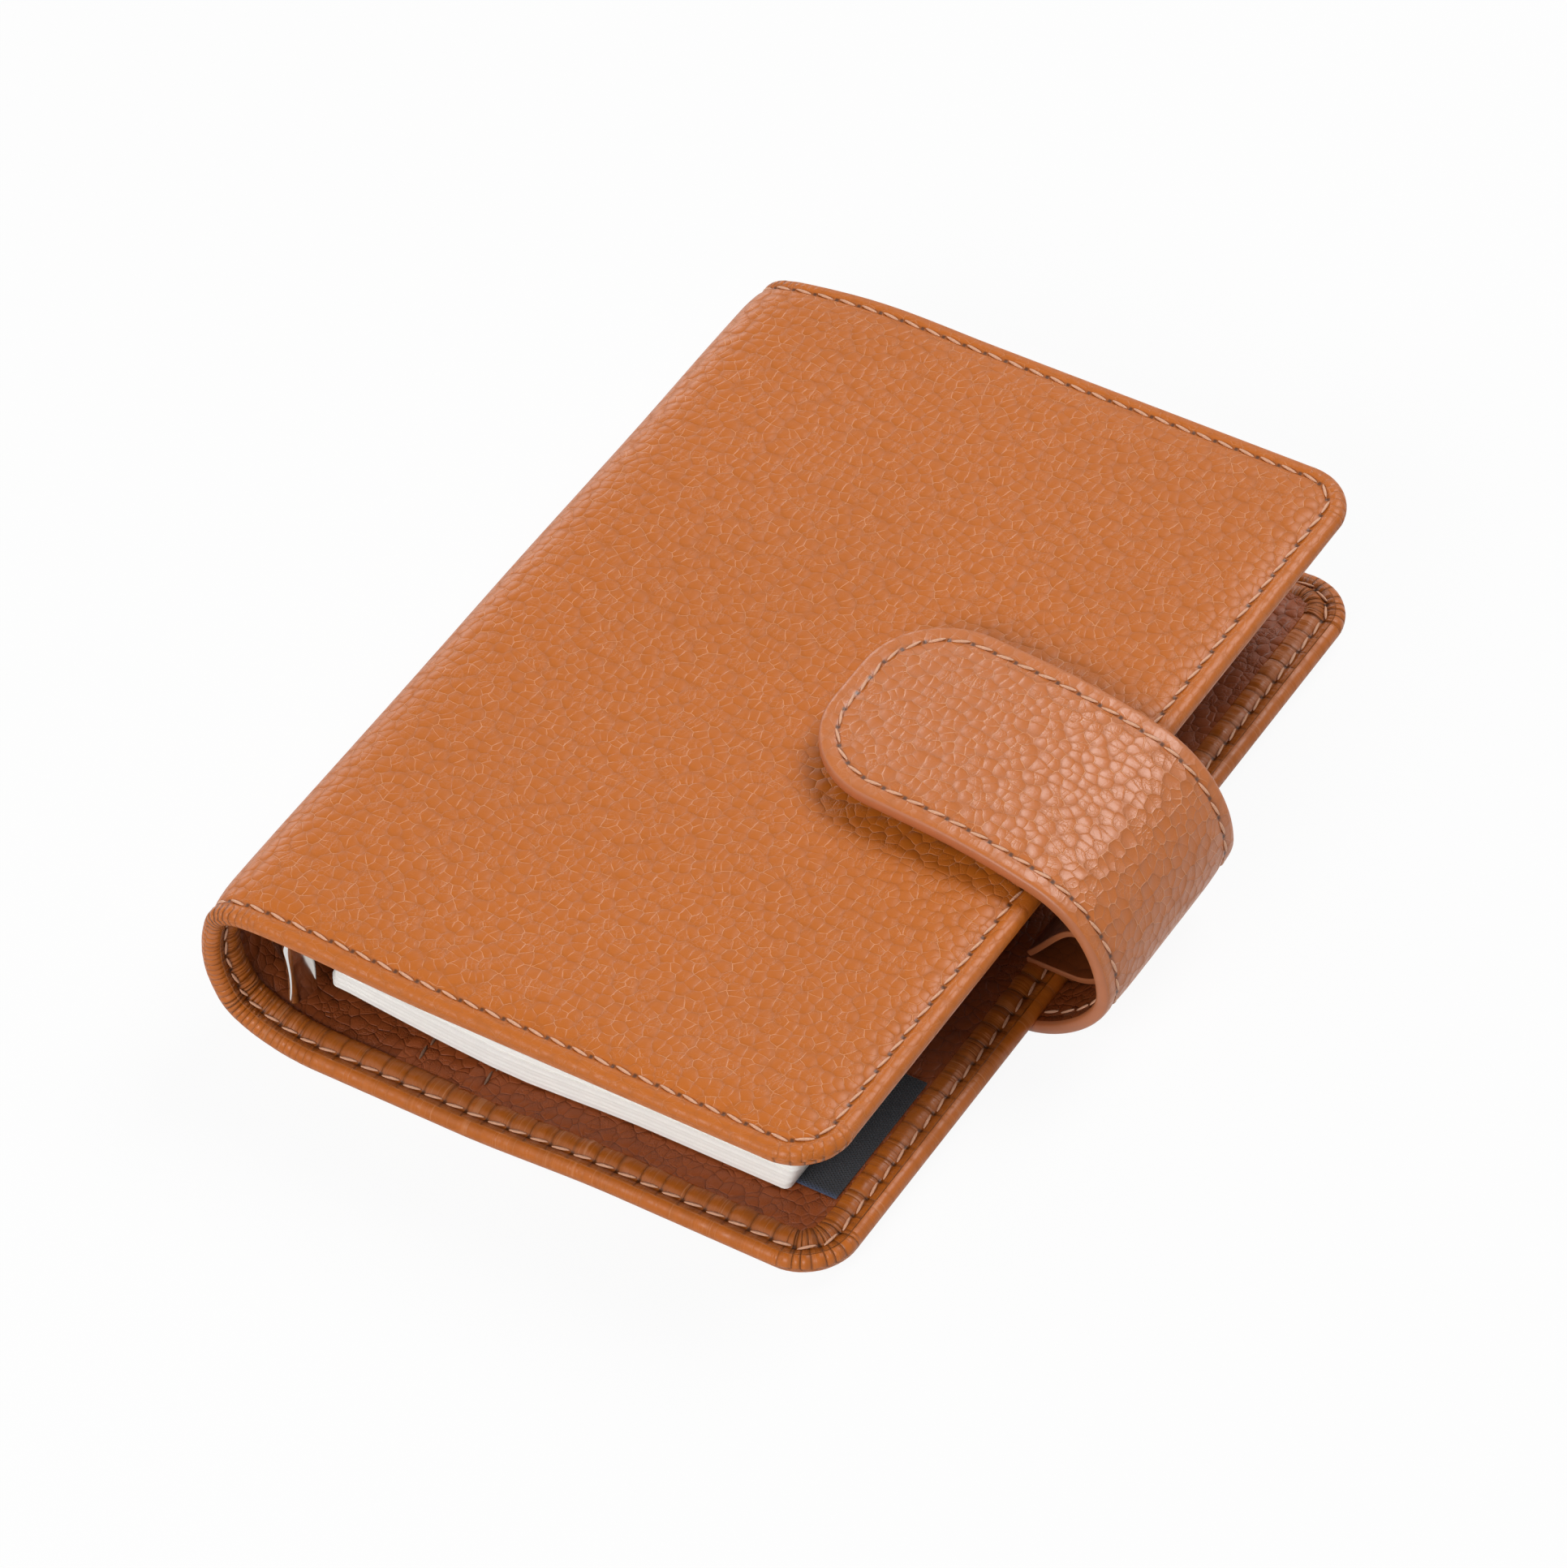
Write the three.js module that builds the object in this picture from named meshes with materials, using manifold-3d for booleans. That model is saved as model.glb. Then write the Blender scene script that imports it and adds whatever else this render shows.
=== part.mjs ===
// A pocket ring planner with a leather cover and a snap strap, closed and lying on its back cover.
// X runs from the spine to the fore-edge, Y from tail to head, Z up from the table. Millimetres.
import * as THREE from "three";
import { mergeVertices } from "three/addons/utils/BufferGeometryUtils.js";
import Module from "manifold-3d";

const wasm = await Module();
wasm.setup();

// Paper and the cover that is cut to hold it
const paperWidth = 62;
const paperHeight = 105;
const paperCornerRadius = 2.5;
const paperTail = 8.8;
const coverBesidePaper = 22;
const coverPastPaper = 20;
const coverWidth = paperWidth + coverBesidePaper;
const coverHeight = paperHeight + coverPastPaper;

// Cover
const closedThickness = 22.3;
const coverCornerRadius = 7;
const hemWidth = 5.3;
const frontArch = 0.7;
const archEnd = 33;
const backFlatStart = 15;
const backFlatEnd = 34;
const backRampEnd = 56;

// Plies of the cover, from the outside in
const leatherThickness = 0.8;
const boardThickness = 0.5;
const liningThickness = 0.5;
const hemThickness = 0.7;
const plyGap = 0.1;
const edgeGap = 0.3;
const turnedEdge = 1.2;
const rolledEdgeSteps = 6;
const pocketThickness = 0.4;
const labelThickness = 0.15;

// Creases, where the leather folds between the covers and the spine
const backCrease = { x: 1.75, z: 5.3 };
const frontCrease = { x: 1.3, z: 18.2 };
const creaseDepth = 0.55;
const creaseGapBefore = 0.75;
const creaseGapAfter = 0.15;

// Pockets and label on the inside of the covers
const widePocketMouth = 23;
const narrowPocketMouth = 32;
const frontPocketMouth = 30;
const cardPocketMouth = 52;
const labelWidth = 6.1;
const labelTail = 10.5;
const labelLength = 20;

// Strap and snap
const strapWidth = 29.5;
const strapOffset = -1.8;
const strapSkewDegrees = 3.6;
const strapOuterThickness = 1;
const strapLiningThickness = 0.8;
const strapTabLength = 26;
const strapReach = 10;
const strapFlapLength = 34.6;
const strapTipRadius = 11.5;
const strapTabRadius = 3;
const strapLiningStart = 1.3;
const strapHinge = { depth: 0.3, gapBefore: 0.6, gapAfter: 0.2, height: 19.6 };
const snapInset = 11.6;
const snapHeight = 2.5;
const snapDiscRadius = 5;
const snapDiscThickness = 0.35;
const snapNeckRadius = 1.5;
const snapStudRadius = 1.9;
const snapRingRadius = 4.6;
const snapRingDepth = 1.3;
const snapClearance = 0.35;
const snapRoof = 0.4;
const snapChamfer = 0.4;
const studChamfer = 0.5;
const studWaist = 0.3;
const studFlange = 0.3;

// Pen loop
const loopLength = 20;
const loopThickness = 0.8;
const loopOverlap = 5;
const loopSeam = 2;
const loopLift = 1;
const loopNose = 5.7;
const loopBulge = { reach: 8.9, height: 5.2 };
const loopCrest = { reach: 2.5, height: 8 };
const loopEase = 2.8;
const loopFacets = 8;

// Ring mechanism
const ringCount = 5;
const holeEndDistance = 14.5;
const ringInnerDiameter = 11;
const wireDiameter = 1.6;
const ringCentreX = 11;
const ringTipGap = 0.3;
const ringFootAngle = 147;
const housingWidth = 10.4;
const housingEndAllowance = 10;
const housingBase = 3.4;
const housingShoulder = 4.4;
const housingCrown = 5.6;
const housingWall = 0.5;
const housingCornerRadius = 2.5;
const railThickness = 0.45;
const railTop = 3.9;
const railSideGap = 0.2;
const railMiddleGap = 0.3;
const railEndAllowance = 5;
const slotClearance = 0.5;
const rivetShankRadius = 1;
const rivetHeadRadius = 1.6;
const rivetHeadThickness = 0.2;
const rivetFootRadius = 1.9;
const rivetClearance = 0.4;
const leverWidth = 10.5;
const leverThickness = 0.8;
const leverArmThickness = 0.6;
const leverTip = { x: 9.3, y: 3.8 };
const leverArmOverlap = 0.9;
const leverArmHalf = 1.1;
const leverWaistHalf = 2.6;
const leverShoulder = 6;
const leverCorner = 3.6;
const leverRailGap = 0.25;
const leverCurl = { start: 0.6, rise: 1.1, reach: 3.4, tipRise: 3.4, tipReach: 3.6 };
const leverPivotX = 3.2;
const leverPivotInset = 1.2;

// Pages
const holeDiameter = 5.5;
const holeInset = 4.2;
const packCount = 4;
const packThickness = 1.05;
const sheetThickness = 0.3;
const paperDrop = 5;
const paperRiseStart = 13;
const paperRiseEnd = 24;
const packStagger = [5, 5.5, 5.9, 6.2, 6.3];

// Worked out from the sizes above
const boardDepth = leatherThickness + plyGap;
const liningDepth = boardDepth + boardThickness + plyGap;
const liningInside = liningDepth + liningThickness;
const hemDepth = liningInside + plyGap;
const edgeThickness = hemDepth + hemThickness;
const widePocketDepth = hemDepth;
const narrowPocketDepth = widePocketDepth + pocketThickness + plyGap;
const labelDepth = narrowPocketDepth + pocketThickness + plyGap / 2;
const paperDepth = labelDepth + labelThickness + plyGap * 1.5;
const coverLift = strapOuterThickness + plyGap;
const strapLiningDepth = strapOuterThickness + plyGap;
const strapThickness = strapLiningDepth + strapLiningThickness;
const strapTop = closedThickness + snapHeight + strapThickness;
const strapCentreY = coverHeight / 2 + strapOffset;
const strapTabStart = coverWidth - strapTabLength;
const strapTip = coverWidth - strapFlapLength;
const snapX = strapTip + snapInset;
const loopStart = coverWidth - loopOverlap;
const loopTail = (coverHeight - loopLength) / 2;
const wireRadius = wireDiameter / 2;
const ringRadius = ringInnerDiameter / 2 + wireRadius;
const ringCentreZ = (backCrease.z + frontCrease.z) / 2;
const ringSpan = paperHeight - 2 * holeEndDistance;
const ringPitch = ringSpan / (ringCount - 1);
const ringMiddleY = paperTail + paperHeight / 2;
const housingTail = ringMiddleY - ringSpan / 2 - housingEndAllowance;
const housingHead = ringMiddleY + ringSpan / 2 + housingEndAllowance;
const railTail = ringMiddleY - ringSpan / 2 - railEndAllowance;
const railHead = ringMiddleY + ringSpan / 2 + railEndAllowance;
const railHalfWidth = housingWidth / 2 - housingWall - railSideGap;
const rivetOffset = ringPitch * 1.5;
const ringYs = Array.from({ length: ringCount }, (_, i) => ringMiddleY + (i - (ringCount - 1) / 2) * ringPitch);

const colours = {
  leather: 0xc8692f,
  lining: 0xa85a2b,
  board: 0x8c8478,
  edge: 0xbe7348,
  label: 0x23262a,
  metal: 0xc9ccd0,
  paper: 0xf0eee8,
};

const finishes = {
  leather: { color: colours.leather, roughness: 0.5, metalness: 0 },
  lining: { color: colours.lining, roughness: 0.6, metalness: 0 },
  board: { color: colours.board, roughness: 0.9, metalness: 0 },
  strap: { color: colours.edge, roughness: 0.5, metalness: 0 },
  label: { color: colours.label, roughness: 0.9, metalness: 0 },
  metal: { color: colours.metal, roughness: 0.15, metalness: 1 },
  paper: { color: colours.paper, roughness: 0.85, metalness: 0 },
};

const planner = new THREE.Group();

// Geometry helpers

const mergeTolerance = 1e-3;
const bigDepth = 10;

// One closed body of a geometry: shared vertices merged and collapsed triangles dropped.
function cleaned(geometry) {
  const bare = new THREE.BufferGeometry();
  bare.setAttribute("position", geometry.getAttribute("position"));
  if (geometry.index) bare.setIndex(geometry.index);
  const merged = mergeVertices(bare, mergeTolerance);
  const kept = [];
  const index = merged.index.array;
  for (let i = 0; i < index.length; i += 3) {
    const [a, b, c] = [index[i], index[i + 1], index[i + 2]];
    if (a !== b && b !== c && a !== c) kept.push(a, b, c);
  }
  merged.setIndex(kept);
  return merged;
}

function toSolid(geometry) {
  const merged = cleaned(geometry);
  return new wasm.Manifold(
    new wasm.Mesh({
      numProp: 3,
      vertProperties: new Float32Array(merged.attributes.position.array),
      triVerts: new Uint32Array(merged.index.array),
    }),
  );
}

function toGeometry(solid) {
  const mesh = solid.getMesh();
  const geometry = new THREE.BufferGeometry();
  geometry.setAttribute("position", new THREE.BufferAttribute(new Float32Array(mesh.vertProperties), 3));
  geometry.setIndex(new THREE.BufferAttribute(new Uint32Array(mesh.triVerts), 1));
  return geometry;
}

function cut(geometry, ...tools) {
  let solid = toSolid(geometry);
  for (const tool of tools) solid = solid.subtract(toSolid(tool));
  return toGeometry(solid);
}

function join(geometry, ...others) {
  let solid = toSolid(geometry);
  for (const other of others) solid = solid.add(toSolid(other));
  return toGeometry(solid);
}

function common(geometry, other) {
  return toGeometry(toSolid(geometry).intersect(toSolid(other)));
}

// Moves every vertex by a function. A mapping that mirrors also turns each triangle round.
function mapped(geometry, place, mirrors = false) {
  const source = geometry.index ? geometry.toNonIndexed() : geometry;
  const from = source.getAttribute("position");
  const points = [];
  for (let i = 0; i < from.count; i++) {
    points.push(place(new THREE.Vector3().fromBufferAttribute(from, i)));
  }
  if (mirrors) {
    for (let i = 0; i < points.length; i += 3) [points[i + 1], points[i + 2]] = [points[i + 2], points[i + 1]];
  }
  return cleaned(new THREE.BufferGeometry().setFromPoints(points));
}

// Extrudes a shape along an axis. The shape lies in (x, y) for z, (y, z) for x and (z, x) for y.
function extruded(shape, axis, low, high, curveSegments = 8) {
  const depth = high - low;
  const geometry = new THREE.ExtrudeGeometry(shape, { depth, bevelEnabled: false, curveSegments });
  geometry.translate(0, 0, low);
  const turns = {
    x: (p) => new THREE.Vector3(p.z, p.x, p.y),
    y: (p) => new THREE.Vector3(p.y, p.z, p.x),
    z: (p) => p,
  };
  return mapped(geometry, turns[axis]);
}

// A rectangle whose two corners at the low end, the high end or both are rounded.
function roundedRectangle(x0, x1, y0, y1, lowRadius, highRadius = lowRadius) {
  const shape = new THREE.Shape();
  shape.moveTo(x0 + lowRadius, y0);
  shape.lineTo(x1 - highRadius, y0);
  if (highRadius > 0) shape.absarc(x1 - highRadius, y0 + highRadius, highRadius, -Math.PI / 2, 0, false);
  else shape.lineTo(x1, y0);
  shape.lineTo(x1, y1 - highRadius);
  if (highRadius > 0) shape.absarc(x1 - highRadius, y1 - highRadius, highRadius, 0, Math.PI / 2, false);
  else shape.lineTo(x1, y1);
  shape.lineTo(x0 + lowRadius, y1);
  if (lowRadius > 0) shape.absarc(x0 + lowRadius, y1 - lowRadius, lowRadius, Math.PI / 2, Math.PI, false);
  else shape.lineTo(x0, y1);
  shape.lineTo(x0, y0 + lowRadius);
  if (lowRadius > 0) shape.absarc(x0 + lowRadius, y0 + lowRadius, lowRadius, Math.PI, 1.5 * Math.PI, false);
  return shape;
}

function circle(x, y, radius) {
  const shape = new THREE.Shape();
  shape.absarc(x, y, radius, 0, 2 * Math.PI, false);
  return shape;
}

// A turned piece: the profile is a list of [radius, height], revolved about its axis.
function turned(profile, axis, segments = 16) {
  const points = profile.map(([radius, height]) => new THREE.Vector2(radius, height));
  const geometry = new THREE.LatheGeometry(points, segments);
  if (axis === "x") geometry.rotateZ(-Math.PI / 2);
  if (axis === "z") geometry.rotateX(Math.PI / 2);
  return cleaned(geometry);
}

// Cross-section paths

// A chain of flat curves, read by the distance along it. Each curved stretch says how many facets it takes.
class SectionPath {
  constructor(stretches, inwardSign) {
    this.inwardSign = inwardSign;
    this.stretches = [];
    let start = 0;
    for (const { curve, facets } of stretches) {
      const length = curve.getLength();
      this.stretches.push({ curve, facets, start, length });
      start += length;
    }
    this.length = start;
  }

  // The distance at which a stretch starts.
  startOf(number) {
    return number < this.stretches.length ? this.stretches[number].start : this.length;
  }

  // Where the leather has to fold between facets.
  folds() {
    return this.stretches.flatMap(({ facets, start, length }) =>
      Array.from({ length: facets }, (_, i) => start + (length * i) / facets),
    );
  }

  // Point, direction and inward normal at a distance.
  at(distance) {
    const found = this.stretches.find((s) => distance <= s.start + s.length) ?? this.stretches.at(-1);
    const share = THREE.MathUtils.clamp((distance - found.start) / found.length, 0, 1);
    const point = found.curve.getPointAt(share);
    const along = found.curve.getTangentAt(share);
    const inward = new THREE.Vector2(along.y, -along.x).multiplyScalar(this.inwardSign);
    return { point, along, inward };
  }

  // The distances between two others at which a piece has to fold, with both ends.
  stations(start, end) {
    const inside = (d) => d > start + mergeTolerance && d < end - mergeTolerance;
    return [start, ...this.folds().filter(inside), end];
  }

  // The point at a distance and a depth below the surface.
  place(distance, depth) {
    const { point, inward } = this.at(distance);
    return point.clone().addScaledVector(inward, depth);
  }

  // A ply of even thickness between two distances, as wide as two Y values.
  ply(start, end, depth, thickness, low, high) {
    const stations = this.stations(start, end);
    const outside = stations.map((d) => this.place(d, depth));
    const inside = stations.map((d) => this.place(d, depth + thickness));
    const outline = [...outside, ...inside.reverse()].map((p) => v2(p.y, p.x));
    return extruded(new THREE.Shape(outline), "y", low, high);
  }

  // A closed section of [y, depth] points carried along the path between two distances.
  sweep(start, end, section) {
    const loops = this.stations(start, end).map((d) =>
      section.map(([y, depth]) => {
        const p = this.place(d, depth);
        return new THREE.Vector3(p.x, y, p.y);
      }),
    );
    const faces = THREE.ShapeUtils.triangulateShape(
      section.map(([y, depth]) => v2(y, depth)),
      [],
    );
    const [first, last] = [loops[0], loops.at(-1)];
    const points = [];
    for (const [a, b, c] of faces) points.push(first[a], first[b], first[c], last[a], last[c], last[b]);
    for (let i = 0; i + 1 < loops.length; i++) {
      section.forEach((_, j) => {
        const k = (j + 1) % section.length;
        const [a, b, c, d] = [loops[i][j], loops[i][k], loops[i + 1][k], loops[i + 1][j]];
        points.push(a, d, c, a, c, b);
      });
    }
    return new THREE.BufferGeometry().setFromPoints(points);
  }
}

function v2(x, z) {
  return new THREE.Vector2(x, z);
}

function line(a, b) {
  return { curve: new THREE.LineCurve(a, b), facets: 1 };
}

// A curve that leaves one point and reaches the next in given directions.
function blend(a, leaving, leave, b, arriving, arrive, facets) {
  const first = a.clone().addScaledVector(leaving.clone().normalize(), leave);
  const second = b.clone().addScaledVector(arriving.clone().normalize(), -arrive);
  return { curve: new THREE.CubicBezierCurve(a, first, second, b), facets };
}

// The outside of the cover: under the back cover from the fore-edge, round the spine and over the front.
function coverPath() {
  const left = v2(-1, 0);
  const right = v2(1, 0);
  const backFold = v2(backCrease.x, backCrease.z);
  const frontFold = v2(frontCrease.x, frontCrease.z);
  const backFoldDirection = v2(-0.5, 0.87);
  const frontFoldDirection = v2(0.35, 0.94);
  const backEdge = v2(coverWidth, coverLift);
  const rampTop = v2(backRampEnd, coverLift);
  const rampFoot = v2(backFlatEnd, 0);
  const shoulderFoot = v2(backFlatStart, 0);
  const rampThird = (backRampEnd - backFlatEnd) / 3;
  const archTop = v2(11, closedThickness + frontArch);
  const archFoot = v2(archEnd, closedThickness);
  const archThird = (archEnd - archTop.x) / 3;
  const frontEdge = v2(coverWidth, closedThickness);
  const spineEase = 4.6;
  return new SectionPath(
    [
      line(backEdge, rampTop),
      blend(rampTop, left, rampThird, rampFoot, left, rampThird, 5),
      line(rampFoot, shoulderFoot),
      blend(shoulderFoot, left, 6, backFold, backFoldDirection, 3.3, 9),
      blend(backFold, backFoldDirection, spineEase, frontFold, frontFoldDirection, spineEase, 8),
      blend(frontFold, frontFoldDirection, 3.6, archTop, right, 5.4, 10),
      blend(archTop, right, archThird, archFoot, right, archThird, 5),
      line(archFoot, frontEdge),
    ],
    1,
  );
}

// The outside of the strap: its sewn tab, the bend round the fore-edge and the flap over the front.
function strapPath() {
  const right = v2(1, 0);
  const up = v2(0, 1);
  const left = v2(-1, 0);
  const tabStart = v2(strapTabStart, 0);
  const bendStart = v2(coverWidth - 2, 0);
  const bendSide = v2(coverWidth + strapReach, closedThickness / 2);
  const bendTop = v2(coverWidth, closedThickness + strapThickness + 0.6);
  const flapLevel = v2(snapX + snapDiscRadius + 1, strapTop);
  const flapTip = v2(strapTip, strapTop);
  const topDirection = v2(-0.975, 0.22);
  return new SectionPath(
    [
      line(tabStart, bendStart),
      blend(bendStart, right, 5, bendSide, up, 5, 9),
      blend(bendSide, up, 7, bendTop, topDirection, 6, 9),
      blend(bendTop, topDirection, 6, flapLevel, left, 6, 4),
      line(flapLevel, flapTip),
    ],
    -1,
  );
}

const cover = coverPath();
const strap = strapPath();
const backLength = cover.startOf(4);
const spineEnd = cover.startOf(5);
const backSpan = { start: 0, end: backLength - creaseGapBefore };
const spineSpan = { start: backLength + creaseGapAfter, end: spineEnd - creaseGapBefore };
const frontSpan = { start: spineEnd + creaseGapAfter, end: cover.length };

const backPivot = cover.place(backLength, creaseDepth);
const frontPivot = cover.place(spineEnd, creaseDepth);

// The distance along a path where it passes a height, going up.
function distanceAtHeight(path, height) {
  let [low, high] = [path.startOf(2), path.startOf(3)];
  for (let i = 0; i < 40; i++) {
    const middle = (low + high) / 2;
    if (path.at(middle).point.y < height) low = middle;
    else high = middle;
  }
  return low;
}

const strapFold = distanceAtHeight(strap, strapHinge.height);
const strapPivot = strap.place(strapFold, strapHinge.depth);

// Cover pieces

// An outline without the points that repeat the one before them.
function distinct(points) {
  return points.filter((p, i) => p.distanceTo(points.at(i - 1)) > mergeTolerance);
}

// Inset and depth of each step round a rolled edge, from the outside to the inside.
function rolledEdge() {
  const radius = edgeThickness / 2;
  return Array.from({ length: rolledEdgeSteps + 1 }, (_, i) => {
    const angle = (Math.PI * i) / rolledEdgeSteps;
    return { inset: radius * (1 - Math.sin(angle)), depth: radius * (1 - Math.cos(angle)) };
  });
}

// The leather's section from tail to head: one outer ply whose edges roll over and end in a hem.
function turnedSection() {
  const tail = rolledEdge().map(({ inset, depth }) => [inset, depth]);
  const hem = [
    [hemWidth, edgeThickness],
    [hemWidth, hemDepth],
    [turnedEdge, hemDepth],
    [turnedEdge, leatherThickness],
  ];
  const half = [...tail, ...hem];
  const otherHalf = half.map(([y, depth]) => [coverHeight - y, depth]);
  return [...otherHalf, ...half.reverse()];
}

// The plan of a cover from a straight end at x0 to its rounded fore-edge, inset on its other sides.
function coverPlan(x0, inset) {
  const radius = Math.max(coverCornerRadius - inset, 1);
  return roundedRectangle(x0, coverWidth - inset, inset, coverHeight - inset, 0, radius);
}

// A flat slab with rolled edges, its outside at depth 0: a stack of outlines inset by the round.
function rolledSlab(x0) {
  const rings = rolledEdge().map(({ inset, depth }) =>
    distinct(coverPlan(x0, inset).getPoints(5)).map((p) => new THREE.Vector3(p.x, p.y, depth)),
  );
  const count = rings[0].length;
  const points = [];
  for (let i = 0; i < rolledEdgeSteps; i++) {
    for (let j = 0; j < count; j++) {
      const k = (j + 1) % count;
      const [a, b, c, d] = [rings[i][j], rings[i][k], rings[i + 1][k], rings[i + 1][j]];
      points.push(a, b, c, a, c, d);
    }
  }
  const last = rings[rolledEdgeSteps];
  for (let j = 1; j < count - 1; j++) {
    points.push(rings[0][0], rings[0][j + 1], rings[0][j]);
    points.push(last[0], last[j], last[j + 1]);
  }
  return new THREE.BufferGeometry().setFromPoints(points);
}

// The level end of a cover's leather, with the room for the plies and the window inside the hem cut out.
function leatherEnd(x0) {
  const cavity = extruded(coverPlan(x0 - 1, turnedEdge), "z", leatherThickness, hemDepth, 5);
  const window = extruded(coverPlan(x0 - 1, hemWidth), "z", leatherThickness, 2 * edgeThickness, 5);
  return cut(rolledSlab(x0), cavity, window);
}

const endOverlap = 2;

function backLeather() {
  const joinX = backRampEnd + endOverlap;
  const end = mapped(leatherEnd(joinX), (p) => new THREE.Vector3(p.x, p.y, coverLift + p.z));
  const start = coverWidth - joinX - endOverlap;
  return join(cover.sweep(start, backSpan.end, turnedSection()), end);
}

function frontLeather() {
  const joinX = archEnd + endOverlap;
  const end = mapped(leatherEnd(joinX), (p) => new THREE.Vector3(p.x, p.y, closedThickness - p.z), true);
  const stop = cover.length - (coverWidth - joinX - endOverlap);
  const whole = join(cover.sweep(frontSpan.start, stop, turnedSection()), end);
  return cut(whole, snapHole(snapNeckRadius + edgeGap));
}

function spineLeather() {
  return cover.sweep(spineSpan.start, spineSpan.end, turnedSection());
}

// A board, lining or pocket sheet between two distances, cut to the cover's plan at an inset.
function innerPly(span, inset, depth, thickness) {
  const plan = extruded(coverPlan(-coverWidth, inset), "z", -bigDepth, 2 * closedThickness, 5);
  return common(cover.ply(span.start, span.end, depth, thickness, 0, coverHeight), plan);
}

const spans = { back: backSpan, spine: spineSpan, front: frontSpan };
const plyInset = turnedEdge + edgeGap;
const pocketInset = hemWidth + edgeGap;

function snapHole(radius) {
  return extruded(circle(snapX, snapY, radius), "z", closedThickness / 2, 2 * closedThickness, 6);
}

function rivetHoles(radius) {
  return rivetYs().map((y) => extruded(circle(y, ringCentreZ, radius), "x", -bigDepth, bigDepth, 6));
}

// A pocket sheet inside the hem, from its mouth to the fore-edge.
function pocketSheet(side, mouthX, depth) {
  const fromEdge = coverWidth - mouthX;
  const back = { start: 0, end: fromEdge };
  const front = { start: cover.length - fromEdge, end: cover.length };
  return innerPly(side === "back" ? back : front, pocketInset, depth, pocketThickness);
}

function wovenLabel() {
  const outer = coverWidth - pocketInset;
  const plan = roundedRectangle(outer - labelWidth, outer, labelTail, labelTail + labelLength, 0);
  return extruded(plan, "z", coverLift + labelDepth, coverLift + labelDepth + labelThickness);
}

// Strap pieces: the anchor round the bend is square to the fore-edge, the flap past its fold is skewed

const strapLow = strapCentreY - strapWidth / 2;
const strapHigh = strapCentreY + strapWidth / 2;
const strapSlope = Math.tan(THREE.MathUtils.degToRad(strapSkewDegrees));
const anchorEnd = strapFold - strapHinge.gapBefore;
const flapStart = strapFold + strapHinge.gapAfter;
const snapY = strapCentreY + strapSlope * (strapPivot.x - snapX);

function strapAnchor() {
  const outline = roundedRectangle(strapTabStart, 2 * coverWidth, strapLow, strapHigh, strapTabRadius, 0);
  const plan = extruded(outline, "z", -bigDepth, 2 * closedThickness, 4);
  return common(strap.ply(0, anchorEnd, 0, strapOuterThickness, strapLow, strapHigh), plan);
}

function strapAnchorLining() {
  const start = coverWidth + strapLiningStart - strapTabStart;
  return strap.ply(start, anchorEnd, strapLiningDepth, strapLiningThickness, strapLow, strapHigh);
}

function flapPly(depth, thickness) {
  const outline = roundedRectangle(strapTip, 2 * coverWidth, strapLow, strapHigh, strapTipRadius, 0);
  const plan = extruded(outline, "z", 0, 2 * closedThickness, 8);
  const skewed = mapped(plan, (p) => new THREE.Vector3(p.x, p.y + strapSlope * (strapPivot.x - p.x), p.z));
  const low = strapLow - strapWidth;
  const high = strapHigh + strapWidth;
  return common(strap.ply(flapStart, strap.length, depth, thickness, low, high), skewed);
}

function strapFlapLining() {
  const recessFloor = strapTop - strapLiningDepth - snapDiscThickness - plyGap;
  const disc = circle(snapX, snapY, snapDiscRadius + edgeGap);
  const recess = extruded(disc, "z", recessFloor, 2 * closedThickness, 8);
  return cut(flapPly(strapLiningDepth, strapLiningThickness), recess, snapHole(snapNeckRadius + edgeGap));
}

// Snap: a hidden cap with its socket on the flap, and a stud with its hidden post on the front cover
function snapPieces() {
  const capTop = strapTop - strapLiningDepth;
  const flapUnder = strapTop - strapThickness;
  const socketTop = flapUnder - plyGap;
  const socketUnder = socketTop - snapRingDepth;
  const bore = snapStudRadius + snapClearance;
  const studBase = closedThickness + plyGap;
  const studTop = socketTop - snapRoof - plyGap;
  const postUnder = closedThickness - boardDepth - plyGap / 2;
  const cap = [
    [0, capTop],
    [snapDiscRadius, capTop],
    [snapDiscRadius, capTop - snapDiscThickness],
    [snapNeckRadius, capTop - snapDiscThickness],
    [snapNeckRadius, flapUnder - plyGap / 2],
    [0, flapUnder - plyGap / 2],
  ];
  const socket = [
    [0, socketTop],
    [snapRingRadius, socketTop],
    [snapRingRadius, socketUnder + snapChamfer],
    [snapRingRadius - snapChamfer, socketUnder],
    [bore, socketUnder],
    [bore, socketTop - snapRoof],
    [0, socketTop - snapRoof],
  ];
  const stud = [
    [0, studTop],
    [snapStudRadius - studChamfer, studTop],
    [snapStudRadius, studTop - studChamfer],
    [snapStudRadius - studWaist, studBase + 2 * studFlange],
    [snapRingRadius - 2 * snapChamfer, studBase + studFlange],
    [snapRingRadius - snapChamfer, studBase],
    [0, studBase],
  ];
  const post = [
    [0, closedThickness + plyGap / 2],
    [snapNeckRadius, closedThickness + plyGap / 2],
    [snapNeckRadius, postUnder],
    [snapDiscRadius, postUnder],
    [snapDiscRadius, postUnder - snapDiscThickness],
    [0, postUnder - snapDiscThickness],
  ];
  const pieces = { snap_cap: cap, snap_socket: socket, snap_stud: stud, snap_post: post };
  for (const [name, profile] of Object.entries(pieces)) {
    addMesh(name, turned([...profile].reverse(), "z").translate(snapX, snapY, 0), "metal");
  }
}

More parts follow.
